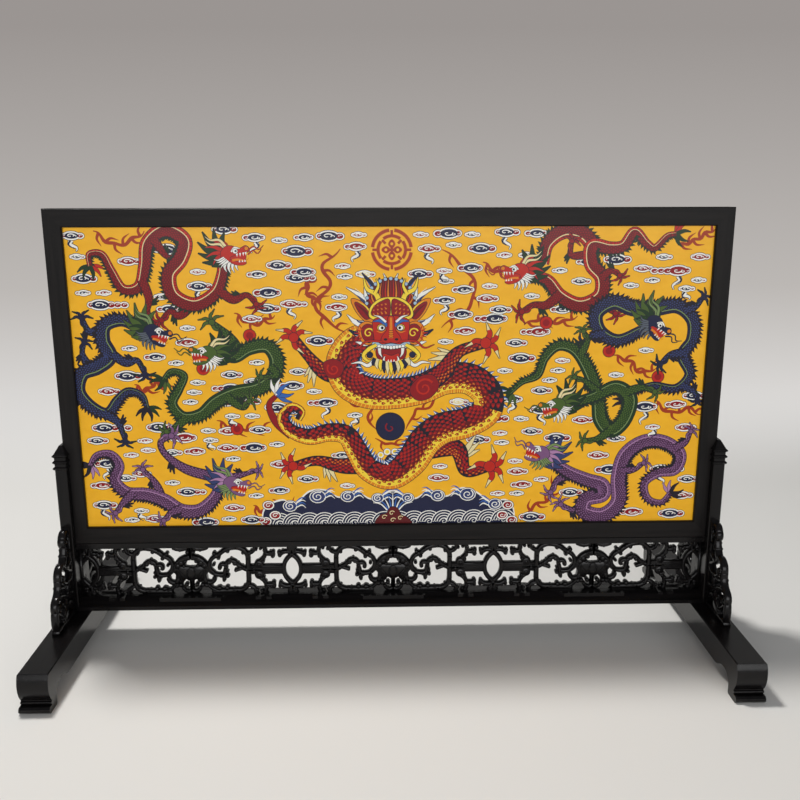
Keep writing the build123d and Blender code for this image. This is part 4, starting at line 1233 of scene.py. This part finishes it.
class Carving:
    """Rounded strokes, knobs and leaves on a drawing plane, gathered into one mesh."""

    def __init__(self, place, half_deep):
        self.place, self.deep = place, half_deep
        self.corners, self.faces = [], []

    def skin(self, rings):
        """Joins rings of equal length into a closed skin with flat ends."""
        first, n = len(self.corners), len(rings[0])
        for ring in rings:
            self.corners += [self.place(*point) for point in ring]
        for i in range(len(rings) - 1):
            for j in range(n):
                a, b = first + i * n + j, first + i * n + (j + 1) % n
                self.faces.append((a, b, b + n, a + n))
        last = first + (len(rings) - 1) * n
        self.faces += [tuple(range(first + n - 1, first - 1, -1)), tuple(range(last, last + n))]

    def stroke(self, width, *points, proud=0.0, limit=None):
        """A bar through two points or an arc through three, with round ends and shoulders."""
        path = arc_path(np.array(points, float), ARC_STEP)
        width = width + (ROUNDED_AWAY if proud == 0 else 0)
        if limit:
            path = path[np.abs(path[:, 0]) < limit]
            if len(path) < 2:
                return
        out = sides(path)
        ahead = np.column_stack([out[:, 1], -out[:, 0]]) * (0.22 * width)
        stations = [(path[0] - ahead[0], out[0], 0.45), (path[0] - ahead[0] * 0.5, out[0], 0.85)]
        stations += [(at, aside, 1.0) for at, aside in zip(path, out)]
        stations += [(path[-1] + ahead[-1] * 0.5, out[-1], 0.85), (path[-1] + ahead[-1], out[-1], 0.45)]
        rings = []
        for at, aside, size in stations:
            ring = []
            for k in range(12):
                a = (k + 0.5) / 12 * 2 * math.pi
                c, s = math.cos(a), math.sin(a)
                across = math.copysign(abs(c) ** 0.75, c) * width / 2 * size
                depth = math.copysign(abs(s) ** 0.6, s) * (self.deep + proud) * (0.7 + 0.3 * size)
                ring.append((*(at + aside * across), depth))
            rings.append(ring)
        self.skin(rings)

    def knob(self, radius, *spots, proud=0.4):
        """Round-faced knots."""
        circle = on_circle(np.arange(12) / 12 * 2 * math.pi) * radius
        for spot in spots:
            self.skin([
                [(*(spot + at * size), (self.deep + proud) * depth) for at in circle]
                for size, depth in both_faces(KNOB_FRONT)
            ])

    def leaf(self, points, proud=0.0, edge=0.9, rounded=True, limit=None):
        """A board of any outline, with its edges rounded over on both faces."""
        ring = smooth(points, 1.4, closed=True) if rounded else np.array(points, float)
        if limit:
            ring = np.column_stack([np.clip(ring[:, 0], -limit, limit), ring[:, 1]])
        out = outward(ring) * edge
        self.skin([
            [(x, z, (self.deep + proud) * depth) for x, z in ring - out * inset]
            for inset, depth in both_faces(LEAF_FRONT)
        ])

    def finish(self, name, material, node):
        """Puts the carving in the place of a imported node."""
        mesh = bpy.data.meshes.new(name)
        mesh.from_pydata([tuple(c * MM for c in corner) for corner in self.corners], [], self.faces)
        tidy = bmesh.new()
        tidy.from_mesh(mesh)
        bmesh.ops.recalc_face_normals(tidy, faces=tidy.faces)
        tidy.to_mesh(mesh)
        tidy.free()
        mesh.shade_smooth()
        mesh.materials.append(material)
        piece = add_object(name, mesh)
        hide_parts(node)
        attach(piece, "stand")


def arc_path(points, step):
    """Even points along a line through two points, or along the circle through three."""
    if len(points) == 2:
        return straight(*points, max(2, math.ceil(math.dist(*points) / step) + 1))
    (ax, ay), (bx, by), (cx, cy) = points
    d = 2 * (ax * (by - cy) + bx * (cy - ay) + cx * (ay - by))
    a2, b2, c2 = ax * ax + ay * ay, bx * bx + by * by, cx * cx + cy * cy
    middle = np.array([(a2 * (by - cy) + b2 * (cy - ay) + c2 * (ay - by)) / d,
                       (a2 * (cx - bx) + b2 * (ax - cx) + c2 * (bx - ax)) / d])
    radius = math.dist(points[0], middle)
    start, via, end = (math.atan2(*(p - middle)[::-1]) for p in points)
    sweep = (end - start) % (2 * math.pi)
    if (via - start) % (2 * math.pi) > sweep:
        sweep -= 2 * math.pi
    turns = start + np.linspace(0, 1, max(3, math.ceil(abs(sweep) * radius / step) + 1)) * sweep
    return middle + radius * on_circle(turns)


# A bar is its width and two or three places, and a knob its radius and place, from the middle of its motif
LOZENGE_BARS = [
    (2.0, (28, 0), (42, 0)), (2.6, (30.2, 9), (25.7, 15), (27.4, 24.5)), (2.6, (25.9, 16), (18.6, 15.6)),
    (2.4, (18.4, 12.6), (17.8, 18.4)), (5.0, (0, 16.2), (2.4, 24.5)),
    (2.8, (2.6, 17.4), (7, 17.6), (11.2, 15.2)), (2.2, (11.4, 13.2), (12.4, 18.0)),
    (2.2, (35.7, 24.5), (36.9, 18.6), (42.3, 16.6)),
]
LOZENGE_KNOBS = [
    (25.9, 12.8), (20.4, 17.4), (8.8, 18.2), (26.2, 19.6), (38.6, 18.6), (29.6, 21.4), (3.4, 20.0),
    (17.6, 14.0), (28.4, 10.8), (34.0, 20.4), (0.6, 15.6), (12.0, 14.6),
]
BAT_BARS = [
    (3.2, (-54.3, -12), (-54.3, 12)), (3.2, (-54.3, 11), (-50.9, 19.4), (-42.5, 22.6)),
    (3.2, (-43.5, 22.6), (-34.6, 20.9), (-26.6, 15.2)), (3.4, (-54.3, -11), (-50.9, -18.6), (-42.5, -21.2)),
    (4.2, (-44, -21.4), (-20, -22.0)), (2.8, (-53.8, -0.6), (-46.4, 3.6), (-41.2, 8.2)),
    (3.0, (-42.6, 7.4), (-37.6, 9.0), (-33.6, 6.2)), (2.2, (-47.6, 1.2), (-41.8, -0.8)),
    (2.4, (-27.4, 1.0), (-29.4, 5.6), (-33.0, 1.4)), (2.6, (-33.2, 2.4), (-31.6, -4.0), (-31.0, -10.2)),
    (2.6, (-31.8, -4.4), (-25.6, -5.2), (-17.6, -0.6)), (2.6, (-23.4, 13.6), (-17.6, 6.6), (-21.6, -3.2)),
    (4.6, (-15.4, -0.4), (-11.0, 8.6), (-1.0, 13.0)), (3.0, (-12.6, -8.6), (-17.6, -13.0), (-21.8, -8.4)),
    (1.9, (-14.6, -11.6), (-17.6, -17.4), (-23.2, -20.6)), (2.6, (0, -10), (0, -23)),
    (2.2, (-7.6, -18.2), (-4.4, -21.6), (-0.4, -20.2)), (3.2, (0, 12.6), (0, 24)),
    (3.2, (-15.8, 23.2), (-9.2, 21.4), (-3.4, 22.8)),
]
BAT_KNOBS = [
    (2.6, -24.6, 14.6), (2.0, -22.4, 16.9), (2.0, -26.4, 12.2), (2.0, -35.4, 19.0), (2.6, -33.4, -18.6),
    (2.6, -26.2, -18.8), (2.1, -33.6, 5.8), (1.7, -30.8, -10.6), (1.8, -21.8, -8.0), (1.5, -3.2, 13.9),
    (1.6, -44.6, 6.4), (1.6, -38.0, 10.6), (1.8, -8.0, -18.0), (1.7, -18.2, 9.4), (1.8, -49.8, 17.2),
    (1.9, -30.6, 18.6), (1.7, -21.6, 5.4), (1.6, -28.4, -6.4), (1.6, -34.4, -2.0), (1.7, -15.6, 3.2),
    (1.7, -12.6, 8.2), (1.6, -6.0, 13.2), (2.2, -2.6, 18.4), (1.8, -9.6, 20.6), (1.6, -13.4, -14.4),
    (1.7, -18.4, -17.6), (1.7, -24.6, -18.4), (1.6, -40.0, -20.0), (1.6, -50.0, -17.0), (1.5, -48.6, 3.4),
    (1.6, -4.6, -20.6), (1.9, -6.6, 4.6), (3.0, -12.6, 4.4), (3.0, -9.4, 7.4), (2.0, -5.2, 9.2),
    (2.4, -10.4, -15.0), (2.2, -5.0, -14.6), (2.2, -14.0, -15.6), (2.4, -41.6, 6.6), (2.2, -36.4, 7.6),
    (2.0, -50.6, 1.6), (2.0, -34.6, -6.4),
]


def carve_lozenge(work, x):
    """A pointed ring on a fluted bar with scrolled ends, and hooks that reach in from both borders."""
    limit = POST_INSIDE + 3.0
    for s in (-1, 1):
        def at(p):
            return x + s * p[0], p[1]

        work.stroke(2.8, at((0, 14.6)), at((8.3, 0)), at((0, -14.6)), limit=limit)
        if abs(x + s * 12) < limit:
            bar = ((8.0, -4.7), (40.0, -4.7), (40.0, 4.7), (8.0, 4.7))
            work.leaf([at(p) for p in bar], -0.3, 0.9, False, limit)
            for z in (-2.2, 0.0, 2.2):
                work.stroke(1.0, at((9, z)), at((30, z)), proud=0.25, limit=limit)
        if abs(x + s * 31.6) < limit:
            work.knob(4.7, at((31.6, 5.4)), at((31.6, -5.4)), proud=0.2)
            work.knob(1.9, at((27.6, 8.4)), at((27.6, -8.4)), at((36.4, 1.2)), at((36.4, -1.2)))
            work.knob(2.2, at((31.6, 5.4)), at((31.6, -5.4)), proud=0.9)
        for width, *spots in LOZENGE_BARS:
            for up in (1, -1):
                work.stroke(width, *(at((p[0], p[1] * up)) for p in spots), limit=limit)
        for px, pz in LOZENGE_KNOBS:
            if abs(x + s * px) < limit:
                work.knob(1.7, at((px, pz)), at((px, -pz)))


def carve_bat(work, x):
    """A bat with ribbed wings among scrolls and leaves, in a round-cornered cartouche."""
    for s in (-1, 1):
        def at(p):
            return x + s * p[0], p[1]

        for width, *spots in BAT_BARS:
            work.stroke(width, *(at(p) for p in spots))
        for radius, px, pz in BAT_KNOBS:
            work.knob(radius, at((px, pz)))
        wing = [(-17.8, 0), (-9.6, 4.6), (0, 3.4), (0.4, -11.4), (-5, -9), (-8, -12.6), (-11, -11),
                (-16, -13.6), (-14, -5.4)]
        work.leaf([at(p) for p in wing], -0.2, 0.7, False)
        for tip in ((-15.0, -11.6), (-11.0, -10.0), (-8.0, -11.0), (-4.6, -8.0)):
            work.stroke(1.1, at((-12.0 + 0.08 * tip[0], 2.2)), at(tip), proud=0.5)
        work.knob(1.4, at((-3.0, -1.0)), proud=1.0)
    round_body = on_circle(np.linspace(0, 2 * math.pi, 13, endpoint=False)) * (4.4, 6.2)
    work.leaf(round_body + (x, -2.6), 0.5, 1.4)


def carve_apron():
    work = Carving(lambda x, z, d: (x, -d, APRON_MIDDLE + z), APRON_HALF_DEEP)
    for i in (-3, -1, 1, 3):
        carve_lozenge(work, i * MOTIF_PITCH)
    for i in (-2, 0, 2):
        carve_bat(work, i * MOTIF_PITCH)
    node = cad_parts["apron_panel"]
    low, high = packed_corners(node)
    edge, end = APRON_HALF_UP, POST_INSIDE - 2.0
    for z0, z1 in ((low[2] - APRON_MIDDLE, -edge), (edge, high[2] - APRON_MIDDLE)):
        work.leaf([(low[0], z0), (high[0], z0), (high[0], z1), (low[0], z1)], 0.0, 0.0, False)
    for x0, x1 in ((low[0], -end), (end, high[0])):
        work.leaf([(x0, -edge), (x1, -edge), (x1, edge), (x0, edge)], 0.0, 0.0, False)
    work.finish("apron_carving", stand_wood["X"], "apron_panel")


def packed_corners(node):
    """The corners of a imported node's box, in millimetres."""
    points = np.array([node.matrix_world @ v.co for v in node.data.vertices]) / MM
    return points.min(axis=0), points.max(axis=0)


SPANDREL_BARS = [
    (3.2, (2, 72), (6, 81.6), (12.6, 77)), (3.2, (12.6, 77), (12.2, 70.6), (6.8, 72.6)),
    (3.4, (10.8, 71), (13.6, 61), (19.6, 53.4)), (3.6, (19, 54.4), (29.4, 52), (31.2, 43.6)),
    (3.0, (31.2, 44), (25.6, 39.6), (23.8, 45.4)), (3.6, (31.8, 45), (33.6, 36.4), (38.8, 30.6)),
    (3.6, (38.4, 30.8), (43.2, 27.4), (43.4, 19.4)), (3.4, (43.4, 22), (45.4, 12), (44.2, 4)),
    (3.0, (1.6, 63.4), (8.4, 62.6), (13.4, 63.2)), (3.0, (2, 55), (10, 50), (20.4, 53.2)),
    (2.8, (2, 43), (12, 47.4), (17, 51.8)), (3.0, (2, 42), (13, 35), (24.4, 40.6)),
    (3.0, (14, 36.4), (21.6, 34.6), (33.4, 38)), (5.4, (1.6, 21), (9, 21), (15.4, 24.8)),
    (3.0, (12, 36.4), (14, 29), (21, 22)), (3.2, (20, 24), (29.6, 28.4), (38.8, 30.8)),
    (3.6, (5, 12), (17, 14.4), (30, 4)), (3.2, (15, 24), (24, 18), (33, 8)),
    (3.0, (31, 10), (37.4, 14.4), (43.6, 20.4)), (2.6, (26, 17), (32.4, 21.6), (37.8, 19.6)),
]
SPANDREL_KNOBS = [
    (2.2, 24.4, 45.2), (2.2, 37.4, 19.4), (2.2, 7.6, 72.8), (1.8, 13.4, 74.0), (1.7, 14.6, 61.4),
    (1.8, 29.6, 50.4), (1.7, 33.4, 38.6), (1.8, 42.4, 26.0), (1.7, 44.4, 13.0), (1.5, 22.6, 53.6),
    (1.5, 37.4, 31.6), (1.4, 9.0, 50.4), (1.4, 14.0, 34.2), (1.4, 22.0, 19.4), (1.4, 9.6, 14.2),
    (1.4, 17.6, 27.0), (1.5, 12.0, 66.4),
]


def carve_spandrel(node, side, way):
    """Openwork scrolls that step down and out from the post to the foot."""

    def place(r, z, d):
        return side * POST_MIDDLE + side * d, way * (POST_HALF_DEEP + r), FOOT_TOP + z

    work = Carving(place, SPANDREL_HALF)
    work.leaf([(0, 0), (47, 0), (47.6, 2), (44.5, 5.6), (34, 4.6), (4, 4.6)], 0.0, 0.5, False)
    work.leaf([(0, 0), (4, 0), (4, 62), (2.4, 84), (0, 84)], 0.0, 0.5, False)
    for width, *spots in SPANDREL_BARS:
        work.stroke(width, *spots)
    for radius, r, z in SPANDREL_KNOBS:
        work.knob(radius, (r, z))
    work.finish(node.replace("spandrel", "carving"), stand_wood["Z"], node)


carve_apron()
for side, hand in ((-1, "left"), (1, "right")):
    for way, end in ((-1, "front"), (1, "rear")):
        carve_spandrel(f"spandrel_{end}_{hand}", side, way)
